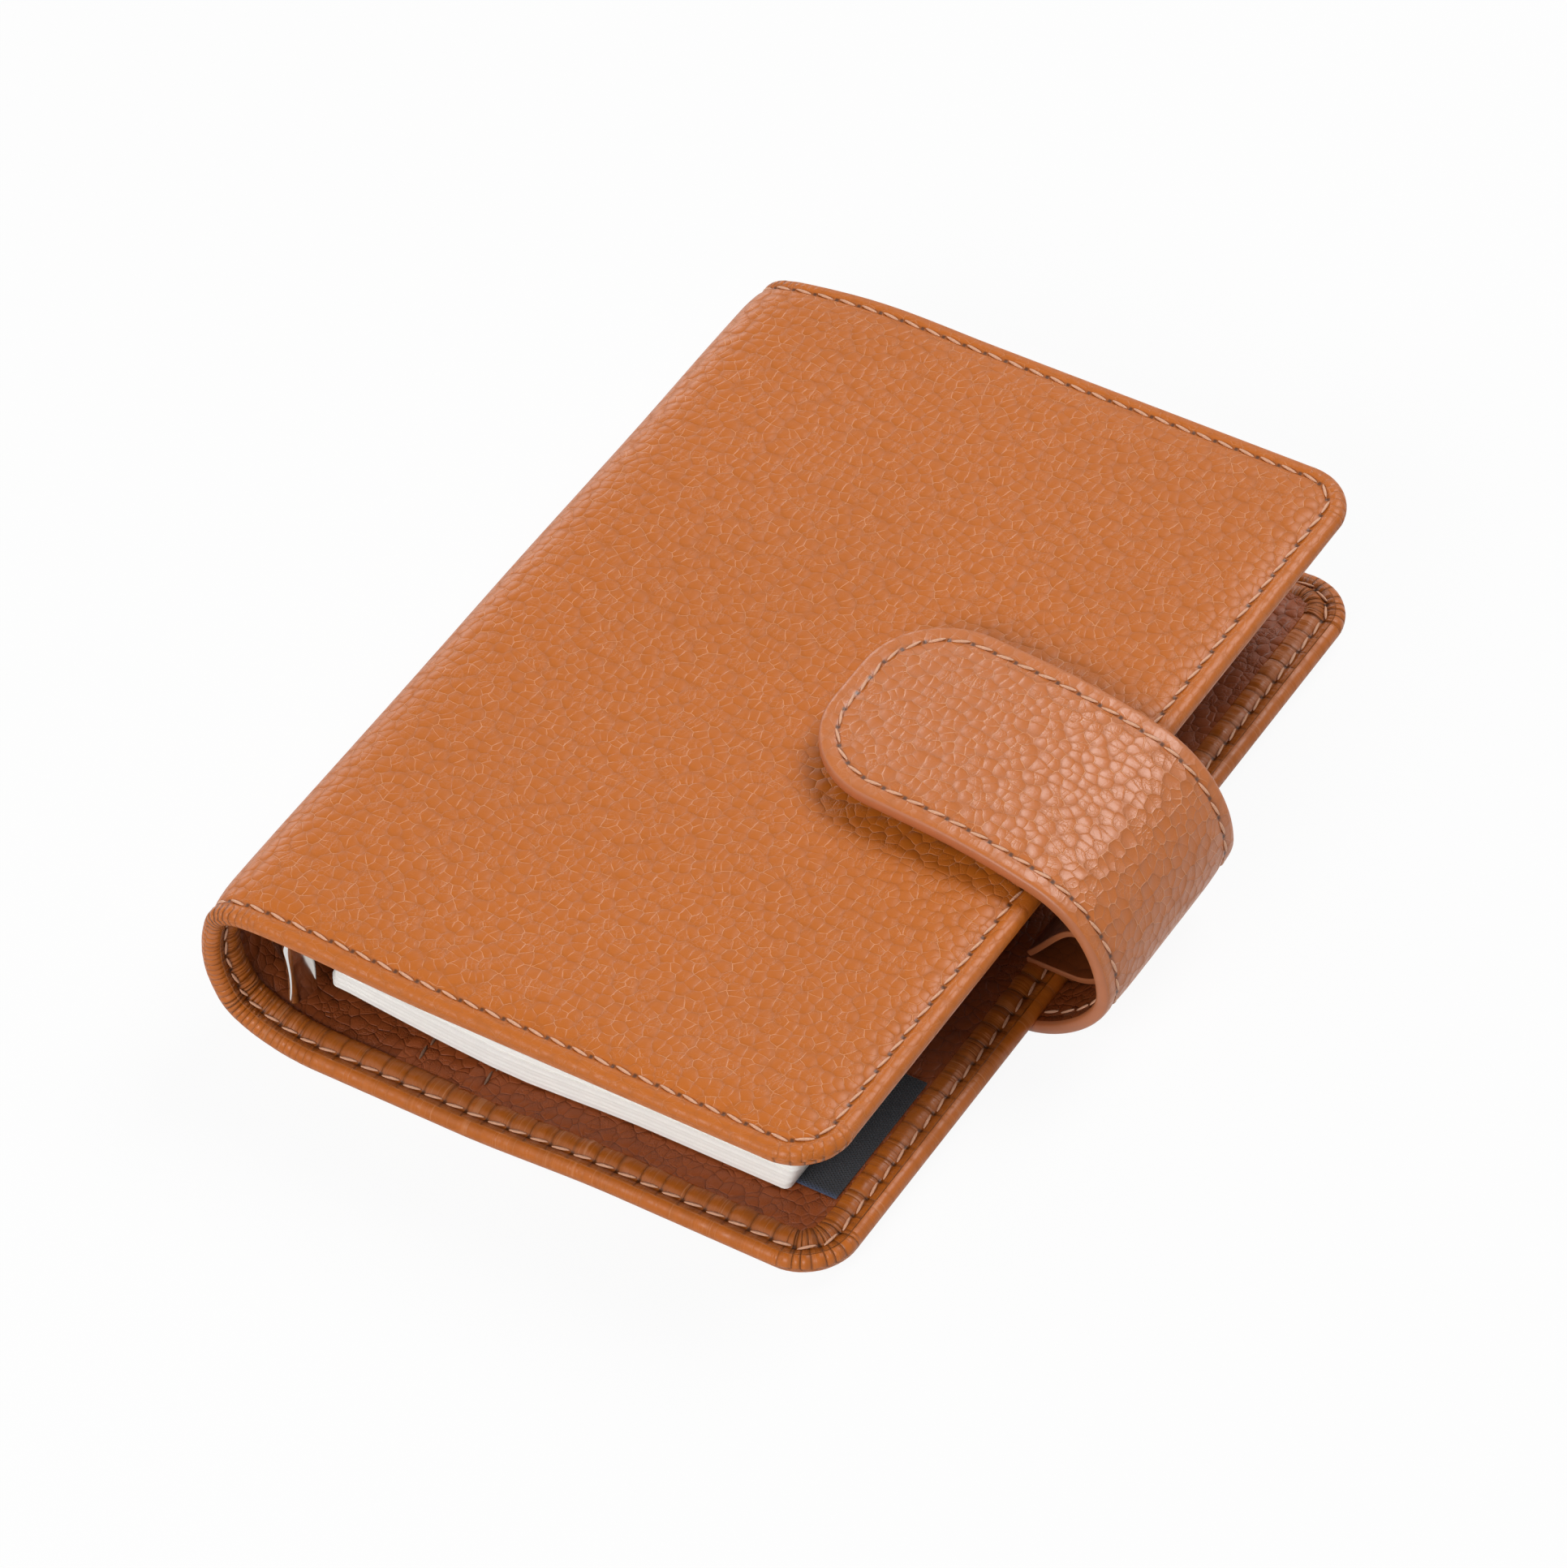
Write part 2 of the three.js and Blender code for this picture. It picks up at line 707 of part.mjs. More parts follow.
// Pen loop: a teardrop band sewn on the hem of the back cover, reaching out past the fore-edge
function penLoop() {
  const floor = coverLift + edgeThickness + plyGap;
  const pinch = v2(loopStart, floor + 2 * loopThickness);
  const crest = v2(coverWidth + loopCrest.reach, floor + loopCrest.height);
  const noseBulge = v2(coverWidth + loopBulge.reach, floor + loopBulge.height);
  const slope = crest.clone().sub(noseBulge).normalize();
  const curves = [
    new THREE.CubicBezierCurve(
      v2(coverWidth + loopLift, floor),
      v2(coverWidth + loopNose, floor),
      noseBulge,
      crest,
    ),
    new THREE.CubicBezierCurve(
      crest,
      crest.clone().addScaledVector(slope, loopEase),
      pinch.clone().add(v2(loopEase, loopEase)),
      pinch,
    ),
  ];
  const outer = [v2(loopStart, floor)];
  const inner = [];
  for (const curve of curves) {
    for (let i = 0; i <= loopFacets; i++) {
      const point = curve.getPoint(i / loopFacets);
      const along = curve.getTangent(i / loopFacets);
      outer.push(point);
      inner.push(v2(point.x - along.y * loopThickness, point.y + along.x * loopThickness));
    }
  }
  const hollow = inner.filter((p) => p.y > floor + loopThickness - mergeTolerance && p.x > loopStart + loopSeam);
  hollow.push(v2(hollow.at(-1).x, floor + loopThickness));
  const section = (points) => new THREE.Shape(distinct(points).map((p) => v2(p.y, p.x)));
  const band = extruded(section(outer), "y", loopTail, loopTail + loopLength);
  return cut(band, extruded(section(hollow), "y", loopTail - 1, loopTail + loopLength + 1));
}

// Ring mechanism, fixed on the inside of the spine and opening towards the fore-edge

function ringHousing() {
  const half = housingWidth / 2;
  const inside = half - housingWall;
  const section = new THREE.Shape();
  section.moveTo(-half, housingBase);
  section.lineTo(-inside, housingBase);
  section.lineTo(-inside, housingShoulder - housingWall);
  section.quadraticCurveTo(0, 2 * housingCrown - housingShoulder - housingWall, inside, housingShoulder - housingWall);
  section.lineTo(inside, housingBase);
  section.lineTo(half, housingBase);
  section.lineTo(half, housingShoulder);
  section.quadraticCurveTo(0, 2 * housingCrown - housingShoulder, -half, housingShoulder);
  const channel = extruded(section, "y", housingTail, housingHead, 6);
  const outline = roundedRectangle(housingTail, housingHead, -half, half, housingCornerRadius);
  const plan = extruded(outline, "x", 0, 2 * housingCrown, 5);
  const slots = ringYs.flatMap((y) => [-1, 1].map((side) => ringSlot(y, side)));
  const holes = rivetYs().map((y) =>
    extruded(circle(y, 0, rivetShankRadius + rivetClearance), "x", 0, 2 * housingCrown, 6),
  );
  return common(cut(channel, ...slots, ...holes), plan).translate(0, 0, ringCentreZ);
}

// The slot in the crown that a half ring's foot moves in.
function ringSlot(y, side) {
  const foot = ringFoot();
  const inner = foot.offset - wireRadius - slotClearance;
  const outer = housingWidth / 2 - housingWall;
  const [low, high] = side > 0 ? [inner, outer] : [-outer, -inner];
  const halfSlot = wireRadius + slotClearance;
  return extruded(
    roundedRectangle(y - halfSlot, y + halfSlot, low, high, 0),
    "x",
    housingBase + housingWall,
    2 * housingCrown,
  );
}

// Where a half ring's round turns straight down to its rail.
function ringFoot() {
  const angle = THREE.MathUtils.degToRad(ringFootAngle);
  return { x: ringCentreX + ringRadius * Math.cos(angle), offset: ringRadius * Math.sin(angle) };
}

function rivetYs() {
  return [ringMiddleY - rivetOffset, ringMiddleY + rivetOffset];
}

// A half ring: round from its tip to the crown of the housing, then straight down on to its rail.
class HalfRingPath extends THREE.Curve {
  constructor(y, side) {
    super();
    this.y = y;
    this.side = side;
    this.startAngle = ringTipGap / 2 / ringRadius;
    this.arcLength = ringRadius * (THREE.MathUtils.degToRad(ringFootAngle) - this.startAngle);
    this.footLength = ringFoot().x - railTop - plyGap / 2;
  }

  getPoint(t) {
    const distance = t * (this.arcLength + this.footLength);
    const angle = this.startAngle + Math.min(distance, this.arcLength) / ringRadius;
    const down = Math.max(distance - this.arcLength, 0);
    const x = ringCentreX + ringRadius * Math.cos(angle) - down;
    return new THREE.Vector3(x, this.y, ringCentreZ + this.side * ringRadius * Math.sin(angle));
  }
}

function halfRing(y, side) {
  const section = new THREE.Shape();
  section.absarc(0, 0, wireRadius, 0, 2 * Math.PI, false);
  const path = new HalfRingPath(y, side);
  const rings = new THREE.ExtrudeGeometry(section, { steps: 13, curveSegments: 4, extrudePath: path });
  return cleaned(rings);
}

function rail(side) {
  const inner = railMiddleGap / 2;
  const [low, high] = side > 0 ? [inner, railHalfWidth] : [-railHalfWidth, -inner];
  const plate = extruded(roundedRectangle(railTail, railHead, low, high, 0), "x", railTop - railThickness, railTop);
  const notches = rivetYs().map((y) =>
    extruded(circle(y, 0, rivetShankRadius + 2 * rivetClearance), "x", 0, housingCrown, 6),
  );
  return cut(plate, ...notches).translate(0, 0, ringCentreZ);
}

// A rivet from the crown down to the spine's board: flat head, shank and spread foot.
function rivet(y) {
  const head = housingCrown + plyGap / 2;
  const footLow = boardDepth + plyGap * 1.5;
  const footHigh = footLow + boardThickness / 2;
  const profile = [
    [0, footLow],
    [rivetFootRadius, footLow],
    [rivetFootRadius, footHigh],
    [rivetShankRadius, footHigh],
    [rivetShankRadius, head],
    [rivetHeadRadius, head],
    [rivetHeadRadius - 0.1, head + rivetHeadThickness],
    [0, head + rivetHeadThickness],
  ];
  return turned(profile, "x", 12).translate(0, y, ringCentreZ);
}

// A lever at the tail end: a fork arm under the rails, a waist in the housing's end and a curled finger tab.
function leverAtTail() {
  const armTip = railTail + leverArmOverlap;
  const armX = railTop - railThickness - leverRailGap - leverArmThickness / 2;
  const curl = new THREE.CubicBezierCurve(
    v2(armX, housingTail - leverCurl.start),
    v2(armX + leverCurl.rise, housingTail - leverCurl.reach),
    v2(leverTip.x - leverCurl.tipRise, leverTip.y + leverCurl.tipReach),
    v2(leverTip.x, leverTip.y),
  );
  const arm = [v2(armX, armTip), v2(armX, housingTail + leverPivotInset)];
  const side = ribbon([...arm, ...curl.getPoints(9)], leverArmThickness, leverThickness);
  const half = leverWidth / 2;
  const edge = leverTip.y - leverThickness;
  const shoulder = housingTail - leverShoulder;
  const plan = new THREE.Shape();
  plan.moveTo(armTip + 1, -leverArmHalf);
  plan.lineTo(armTip + 1, leverArmHalf);
  plan.lineTo(housingTail + leverPivotInset, leverWaistHalf);
  plan.lineTo(housingTail - leverPivotInset, leverWaistHalf);
  plan.lineTo(shoulder, half);
  plan.lineTo(edge + leverCorner, half);
  plan.quadraticCurveTo(edge, half, edge, half - leverCorner);
  plan.lineTo(edge, leverCorner - half);
  plan.quadraticCurveTo(edge, -half, edge + leverCorner, -half);
  plan.lineTo(shoulder, -half);
  plan.lineTo(housingTail - leverPivotInset, -leverWaistHalf);
  plan.lineTo(housingTail + leverPivotInset, -leverWaistHalf);
  const bar = extruded(side, "z", -half, half);
  const lever = common(bar, extruded(plan, "x", 0, 4 * housingCrown, 6));
  return lever.translate(0, 0, ringCentreZ);
}

// The outline of a bent plate along a line of points, its thickness changing evenly from start to end.
function ribbon(points, startThickness, endThickness) {
  const left = [];
  const right = [];
  points.forEach((point, i) => {
    const before = points[Math.max(i - 1, 0)];
    const after = points[Math.min(i + 1, points.length - 1)];
    const along = after.clone().sub(before).normalize();
    const share = i / (points.length - 1);
    const half = (startThickness + (endThickness - startThickness) * share) / 2;
    const across = v2(-along.y, along.x).multiplyScalar(half);
    left.push(point.clone().add(across));
    right.push(point.clone().sub(across));
  });
  return new THREE.Shape([...left, ...right.reverse()]);
}

// The lever at the head end is the tail one turned about the middle of the rings.
function leverAtHead() {
  return mapped(leverAtTail(), (p) => new THREE.Vector3(p.x, 2 * ringMiddleY - p.y, p.z), true);
}

// Paper, punched for the rings, lying on the back cover and lifted towards the rings

function smooth(value, from, to) {
  return THREE.MathUtils.smoothstep(value, from, to);
}

function paperFloor(x) {
  const lift = coverLift * smooth(x, backFlatEnd, backRampEnd);
  const ringRise = ringCentreZ - paperDrop - paperDepth;
  return paperDepth + lift + ringRise * (1 - smooth(x, paperRiseStart, paperRiseEnd));
}

function paperLayer(number, height, thickness) {
  const holeX = ringCentreX + packStagger[number];
  const x0 = holeX - holeInset;
  const folds = [x0];
  for (let i = 0; i <= 6; i++) folds.push(paperRiseStart + ((paperRiseEnd - paperRiseStart) * i) / 6);
  for (let i = 0; i <= 4; i++) folds.push(backFlatEnd + ((backRampEnd - backFlatEnd) * i) / 4);
  folds.push(x0 + paperWidth);
  folds.sort((a, b) => a - b);
  const under = folds.map((x) => v2(paperFloor(x) + height, x));
  const over = folds.map((x) => v2(paperFloor(x) + height + thickness, x));
  const block = extruded(new THREE.Shape([...under, ...over.reverse()]), "y", paperTail, paperTail + paperHeight);
  const plan = roundedRectangle(x0, x0 + paperWidth, paperTail, paperTail + paperHeight, paperCornerRadius);
  const holes = ringYs.map((y) => extruded(circle(holeX, y, holeDiameter / 2), "z", 0, closedThickness, 6));
  return cut(common(block, extruded(plan, "z", 0, closedThickness, 3)), ...holes);
}

// Assembly

function addMesh(name, geometry, finish) {
  const mesh = new THREE.Mesh(geometry, new THREE.MeshStandardMaterial({ ...finishes[finish], name: finish }));
  mesh.name = name;
  geometry.computeVertexNormals();
  planner.add(mesh);
}

const leathers = { back: backLeather(), spine: spineLeather(), front: frontLeather() };
const boardHoles = {
  back: [],
  spine: rivetHoles(rivetFootRadius + rivetClearance),
  front: [snapHole(snapDiscRadius + edgeGap)],
};
const liningHoles = { back: [], spine: rivetHoles(rivetShankRadius + rivetClearance), front: [] };
const panels = { back: "back_cover", spine: "spine", front: "front_cover" };

for (const [side, name] of Object.entries(panels)) {
  const board = innerPly(spans[side], plyInset, boardDepth, boardThickness);
  const lining = innerPly(spans[side], plyInset, liningDepth, liningThickness);
  addMesh(`${name}_leather`, leathers[side], "leather");
  addMesh(`${name}_board`, cut(board, ...boardHoles[side]), "board");
  addMesh(`${name}_lining`, cut(lining, ...liningHoles[side]), "lining");
}

addMesh("back_pocket_wide", pocketSheet("back", widePocketMouth, widePocketDepth), "lining");
addMesh("back_pocket_narrow", pocketSheet("back", narrowPocketMouth, narrowPocketDepth), "lining");
addMesh("front_pocket", pocketSheet("front", frontPocketMouth, widePocketDepth), "lining");
addMesh("front_card_pocket", pocketSheet("front", cardPocketMouth, narrowPocketDepth), "lining");
addMesh("woven_label", wovenLabel(), "label");
addMesh("pen_loop", penLoop(), "leather");

addMesh("strap_anchor", strapAnchor(), "strap");
addMesh("strap_anchor_lining", strapAnchorLining(), "lining");
addMesh("strap_flap", flapPly(0, strapOuterThickness), "strap");
addMesh("strap_flap_lining", strapFlapLining(), "lining");
snapPieces();

addMesh("ring_housing", ringHousing(), "metal");
addMesh("rail_upper", rail(1), "metal");
addMesh("rail_lower", rail(-1), "metal");
ringYs.forEach((y, i) => {
  addMesh(`half_ring_upper_${i + 1}`, halfRing(y, 1), "metal");
  addMesh(`half_ring_lower_${i + 1}`, halfRing(y, -1), "metal");
});
addMesh("lever_tail", leverAtTail(), "metal");
addMesh("lever_head", leverAtHead(), "metal");
addMesh("rivet_tail", rivet(rivetYs()[0]), "metal");
addMesh("rivet_head", rivet(rivetYs()[1]), "metal");

for (let i = 0; i < packCount; i++) {
  addMesh(`page_pack_${i + 1}`, paperLayer(i, i * (packThickness + plyGap), packThickness), "paper");
}
addMesh("cover_sheet", paperLayer(packCount, packCount * (packThickness + plyGap), sheetThickness), "paper");

// The origin is under the middle of the whole planner
const extent = new THREE.Box3().setFromObject(planner);
const middle = extent.getCenter(new THREE.Vector3());
planner.position.set(-middle.x, -middle.y, -extent.min.z);

// Pivots of the moving pieces, in the group's own frame, for whoever rigs the model
planner.userData.pivots = {
  back_crease: [backPivot.x, backPivot.y],
  front_crease: [frontPivot.x, frontPivot.y],
  strap_swing: [strapPivot.x, strapPivot.y],
  ring_centre: [ringCentreX, ringCentreZ],
  rail_outer_edge: [railTop - railThickness / 2, railHalfWidth],
  lever: [leverPivotX, housingTail + leverPivotInset, housingHead - leverPivotInset],
};

export default planner;
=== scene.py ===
import math

import bpy
import numpy as np
from mathutils import Matrix, Vector, noise


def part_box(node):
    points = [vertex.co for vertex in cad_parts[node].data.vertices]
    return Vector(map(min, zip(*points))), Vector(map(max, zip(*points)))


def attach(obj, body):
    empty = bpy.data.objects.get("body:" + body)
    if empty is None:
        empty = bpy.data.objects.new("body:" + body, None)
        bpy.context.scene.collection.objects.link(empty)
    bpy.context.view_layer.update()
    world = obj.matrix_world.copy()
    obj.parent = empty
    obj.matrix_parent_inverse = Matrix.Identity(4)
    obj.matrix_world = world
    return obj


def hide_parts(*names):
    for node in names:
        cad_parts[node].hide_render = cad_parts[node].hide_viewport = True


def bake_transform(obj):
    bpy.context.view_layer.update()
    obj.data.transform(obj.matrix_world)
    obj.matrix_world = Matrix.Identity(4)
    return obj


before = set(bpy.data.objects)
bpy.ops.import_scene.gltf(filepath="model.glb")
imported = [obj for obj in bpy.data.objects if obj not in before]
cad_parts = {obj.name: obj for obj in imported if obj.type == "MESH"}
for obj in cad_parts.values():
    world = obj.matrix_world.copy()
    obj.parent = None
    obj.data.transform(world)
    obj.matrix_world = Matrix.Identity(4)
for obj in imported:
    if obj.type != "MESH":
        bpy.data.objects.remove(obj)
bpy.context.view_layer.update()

bl_info = {
    "name": "Ring Planner",
    "version": (1, 0, 0),
    "blender": (4, 5, 0),
    "location": "View3D > Sidebar > Planner",
    "description": "Builds a leather ring planner with its strap, rings and paper",
    "category": "Add Mesh",
}

MM = 0.001
COVER_LOW, COVER_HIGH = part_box("front_cover_leather")
COVER_WIDTH = 84 * MM
COVER_HEIGHT = COVER_HIGH.y - COVER_LOW.y
SHIFT_X = COVER_HIGH.x - COVER_WIDTH
SHIFT_Y = COVER_LOW.y


def here(x, y, z):
    """A place given in millimetres from the spine, the tail and the table, in the row frame."""
    return Vector((x * MM + SHIFT_X, y * MM + SHIFT_Y, z * MM))


def in_mm(pairs):
    return [(a * MM, b * MM) for a, b in pairs]


# Sizes and colours a user would change


def length_property(label, words, default, low, high):
    return bpy.props.FloatProperty(name=label, description=words, default=default * MM, min=low * MM, max=high * MM,
                                   subtype="DISTANCE", unit="LENGTH")


def colour_property(label, words, value):
    return bpy.props.FloatVectorProperty(
        name=label, description=words, default=value, min=0, max=1, size=3, subtype="COLOR")


class PlannerSizes(bpy.types.PropertyGroup):
    edge_thickness: length_property("Edge thickness", "Thickness of the cover at its turned edge", 2.8, 1, 6)
    corner_radius: length_property("Corner radius", "Radius of the cover's corners", 7, 3, 15)
    hem_width: length_property("Hem width", "Width of the leather turned over on the inside", 5.3, 3, 10)
    stitch_inset: length_property("Stitch inset", "Distance of the seam from the edge", 2.3, 1, 5)
    stitch_pitch: length_property("Stitch pitch", "Distance from one stitch to the next", 2.9, 1.5, 6)
    thread: length_property("Thread", "Thickness of the sewing thread", 0.4, 0.2, 1)
    pad_rise: length_property("Pad rise", "Height of the padded middle over the turned edge", 0.4, 0, 1)
    wire: length_property("Ring wire", "Diameter of the rings' wire", 1.6, 1, 3)
    sheets: bpy.props.IntProperty(
        name="Sheets", description="Sheets drawn in each pack of pages", default=9, min=3, max=14)


class PlannerColours(bpy.types.PropertyGroup):
    leather: colour_property("Leather", "Colour of the pebbled leather", (0.505, 0.13, 0.011))
    # The crease colour is a painted highlight: the creases lighter than the leather, standing in for the sheen they
    # catch.
    crease: colour_property("Crease", "Colour of the waxed creases of the grain", (0.76, 0.35, 0.17))
    lining: colour_property("Lining", "Colour of the leather inside", (0.24, 0.056, 0.013))
    edge: colour_property("Painted edge", "Colour of the strap's painted edge", (0.47, 0.15, 0.055))
    thread: colour_property("Thread", "Colour of the sewing thread", (0.72, 0.39, 0.24))
    tape: colour_property("Tape", "Colour of the woven tape", (0.008, 0.009, 0.012))
    tape_end: colour_property("Tape end", "Colour of the tape's folded end", (0.05, 0.07, 0.13))
    paper: colour_property("Paper", "Colour of the pages", (0.955, 0.945, 0.915))
    metal: colour_property("Metal", "Colour of the plated steel", (0.72, 0.72, 0.71))


def sizes():
    return bpy.context.scene.planner_sizes


def colours():
    return bpy.context.scene.planner_colours


# The section of the cover and the run of the strap, as in the solids


def bezier(controls, shares):
    """Points at shares of the way along a line or a cubic curve with two or four control points."""
    c, t = [np.array(p, float) for p in controls], np.asarray(shares)[:, None]
    if len(c) == 2:
        return c[0] * (1 - t) + c[1] * t
    return c[0] * (1 - t) ** 3 + 3 * c[1] * t * (1 - t) ** 2 + 3 * c[2] * t * t * (1 - t) + c[3] * t ** 3


def travelled(points):
    """Distance from the start at each point of a polyline."""
    return np.concatenate([[0], np.cumsum(np.linalg.norm(np.diff(points, axis=0), axis=1))])


class SectionPath:
    """Flat curves in a chain, given as lists of two or four (x, z) points in millimetres."""

    def __init__(self, stretches, inward_sign):
        self.inward_sign = inward_sign
        runs = [bezier(controls, np.linspace(0, 1, 160)) for controls in stretches]
        self.starts = np.cumsum([0] + [travelled(run)[-1] for run in runs]) * MM
        self.points = np.vstack([runs[0]] + [run[1:] for run in runs[1:]]) * MM
        self.distance = travelled(self.points)
        self.length = self.distance[-1]
        along = np.gradient(self.points, self.distance, axis=0)
        self.along = along / np.linalg.norm(along, axis=1)[:, None]

    def place(self, distance, depth):
        """(x, z) in metres at distances along the path and depths below its surface."""
        x, z = (np.interp(distance, self.distance, self.points[:, i]) for i in (0, 1))
        ax, az = (np.interp(distance, self.distance, self.along[:, i]) for i in (0, 1))
        size = np.hypot(ax, az)
        return x + az / size * depth * self.inward_sign, z - ax / size * depth * self.inward_sign


def eased(a, leaving, leave, b, arriving, arrive):
    """Control points of a curve from a to b, with the way and the pull at either end."""
    a, b, leaving, arriving = (np.array(v, float) for v in (a, b, leaving, arriving))
    return [a, a + leaving / np.linalg.norm(leaving) * leave, b - arriving / np.linalg.norm(arriving) * arrive, b]


BACK_FOLD, BACK_FOLD_WAY = (1.75, 5.3), (-0.5, 0.87)
FRONT_FOLD, FRONT_FOLD_WAY = (0.7, 18.3), (0.3, 0.95)
# The back cover rises from the table by LIFT, between RISE_FROM and RISE_TO
LIFT, RISE_FROM, RISE_TO = 1.1, 34, 56
CLOSED = 22.3

COVER = SectionPath([
    [(84, LIFT), (RISE_TO, LIFT)],
    eased((RISE_TO, LIFT), (-1, 0), 22 / 3, (RISE_FROM, 0), (-1, 0), 22 / 3),
    [(RISE_FROM, 0), (15, 0)],
    eased((15, 0), (-1, 0), 6, BACK_FOLD, BACK_FOLD_WAY, 3.3),
    eased(BACK_FOLD, BACK_FOLD_WAY, 4.6, FRONT_FOLD, FRONT_FOLD_WAY, 4.6),
    eased(FRONT_FOLD, FRONT_FOLD_WAY, 4.3, (11, CLOSED + 0.7), (1, 0), 6.3),
    eased((11, CLOSED + 0.7), (1, 0), 22 / 3, (33, CLOSED), (1, 0), 22 / 3),
    [(33, CLOSED), (84, CLOSED)],
], 1)
BACK_CREASE, FRONT_CREASE = COVER.starts[4], COVER.starts[5]
SPINE_MIDDLE = (BACK_CREASE + FRONT_CREASE) / 2
HEAD_DRAW = 2.4 * MM

STRAP_TOP = CLOSED + 2.5 + 1.9
STRAP_BULGE, STRAP_SHOULDER = (94, CLOSED / 2), (84, CLOSED + 2.5)
STRAP = SectionPath([
    [(58, 0), (82, 0)],
    eased((82, 0), (1, 0), 5, STRAP_BULGE, (0, 1), 5),
    eased(STRAP_BULGE, (0, 1), 7, STRAP_SHOULDER, (-0.975, 0.22), 6),
    eased(STRAP_SHOULDER, (-0.975, 0.22), 6, (67, STRAP_TOP), (-1, 0), 6),
    [(67, STRAP_TOP), (49.4, STRAP_TOP)],
], -1)


# Modelling helpers


def clear_selection():
    """Leaves edit mode with nothing selected."""
    if bpy.context.object and bpy.context.object.mode != "OBJECT":
        bpy.ops.object.mode_set(mode="OBJECT")
    bpy.ops.object.select_all(action="DESELECT")


def make_active(piece):
    clear_selection()
    piece.select_set(True)
    bpy.context.view_layer.objects.active = piece


def named(name):
    """Names the object that an operator has just made."""
    piece = bpy.context.object
    piece.name = name
    piece.data.name = name
    return piece


def edited(piece, *steps):
    """Takes steps in edit mode, each with the whole piece selected."""
    make_active(piece)
    bpy.ops.object.mode_set(mode="EDIT")
    for step in steps:
        bpy.ops.mesh.select_all(action="SELECT")
        step()
    bpy.ops.mesh.select_all(action="DESELECT")
    bpy.ops.object.mode_set(mode="OBJECT")


def closed_up(piece, distance=1e-6):
    edited(piece, lambda: bpy.ops.mesh.remove_doubles(threshold=distance))


def cut_across(piece, axis, places):
    """Cuts a piece by planes across an axis, at places in metres."""
    way = Vector([float(i == axis) for i in range(3)])
    edited(piece, *[lambda p=p: bpy.ops.mesh.bisect(plane_co=way * p, plane_no=way) for p in places])


def smoothed(piece, degrees):
    make_active(piece)
    bpy.ops.object.shade_smooth_by_angle(angle=math.radians(degrees))


def rounded_off(piece, degrees):
    """Turns the faces outwards and shades them smooth below an angle."""
    edited(piece, lambda: bpy.ops.mesh.normals_make_consistent(inside=False))
    smoothed(piece, degrees)


def drawn_line(name, points):
    """A bent line drawn by extruding one vertex from point to point. It stays in edit mode, all selected."""
    clear_selection()
    points = [Vector(p) for p in points]
    bpy.ops.mesh.primitive_plane_add(size=MM, location=(0, 0, 0))
    piece = named(name)
    bpy.ops.object.mode_set(mode="EDIT")
    bpy.ops.mesh.merge(type="CENTER")
    bpy.ops.transform.translate(value=points[0])
    for before, after in zip(points, points[1:]):
        pulled(after - before)
    bpy.ops.mesh.select_all(action="SELECT")
    return piece


def pulled(step, count=1):
    """Extrudes what is selected by a step, as many times as asked."""
    for _ in range(count):
        bpy.ops.mesh.extrude_region_move(TRANSFORM_OT_translate={"value": step})


def spun(name, points, centre, axis, steps):
    """A turned piece: its half profile drawn through points and spun about an axis."""
    piece = drawn_line(name, points)
    bpy.ops.mesh.spin(steps=steps, angle=2 * math.pi, center=centre, axis=axis)
    closed_up(piece)
    rounded_off(piece, 35)
    return piece


def settled(piece):
    """Puts the object's place and turn into its mesh."""
    make_active(piece)
    bpy.ops.object.transform_apply(location=True, rotation=True, scale=True)


def grid(name, across, up, size, middle):
    """A flat grid with a size and a middle point in metres."""
    clear_selection()
    bpy.ops.mesh.primitive_grid_add(x_subdivisions=across, y_subdivisions=up, size=1)
    piece = named(name)
    piece.scale = (*size, 1)
    piece.location = middle
    settled(piece)
    return piece


def joined(name, *pieces):
    clear_selection()
    for piece in pieces:
        piece.select_set(True)
    bpy.context.view_layer.objects.active = pieces[0]
    bpy.ops.object.join()
    return named(name)


def applied(piece, kind, **values):
    make_active(piece)
    modifier = piece.modifiers.new(kind.title(), kind)
    for key, value in values.items():
        setattr(modifier, key, value)
    bpy.ops.object.modifier_apply(modifier=modifier.name)


def discarded(piece):
    bpy.data.objects.remove(piece, do_unlink=True)


def carved(piece, tools):
    """Cuts tools out of a piece and removes them."""
    for tool in tools:
        applied(piece, "BOOLEAN", operation="DIFFERENCE", object=tool, solver="EXACT")
        discarded(tool)


def coordinates(piece):
    co = np.empty(len(piece.data.vertices) * 3)
    piece.data.vertices.foreach_get("co", co)
    return co.reshape(-1, 3)


def moved(piece, co):
    piece.data.vertices.foreach_set("co", np.ascontiguousarray(co, float).ravel())
    piece.data.update()


def vertex_value(piece, name, values):
    attribute = piece.data.attributes.new(name, "FLOAT", "POINT")
    attribute.data.foreach_set("value", np.asarray(values, np.float32))


def flat_map(piece, uv):
    """A UV map from one (u, v) for each vertex, in tenths of a metre."""
    while piece.data.uv_layers:
        piece.data.uv_layers.remove(piece.data.uv_layers[0])
    layer = piece.data.uv_layers.new(name="flat")
    corner = np.empty(len(piece.data.loops), np.int32)
    piece.data.loops.foreach_get("vertex_index", corner)
    layer.data.foreach_set("uv", (np.asarray(uv)[corner] * 10).astype(np.float32).ravel())


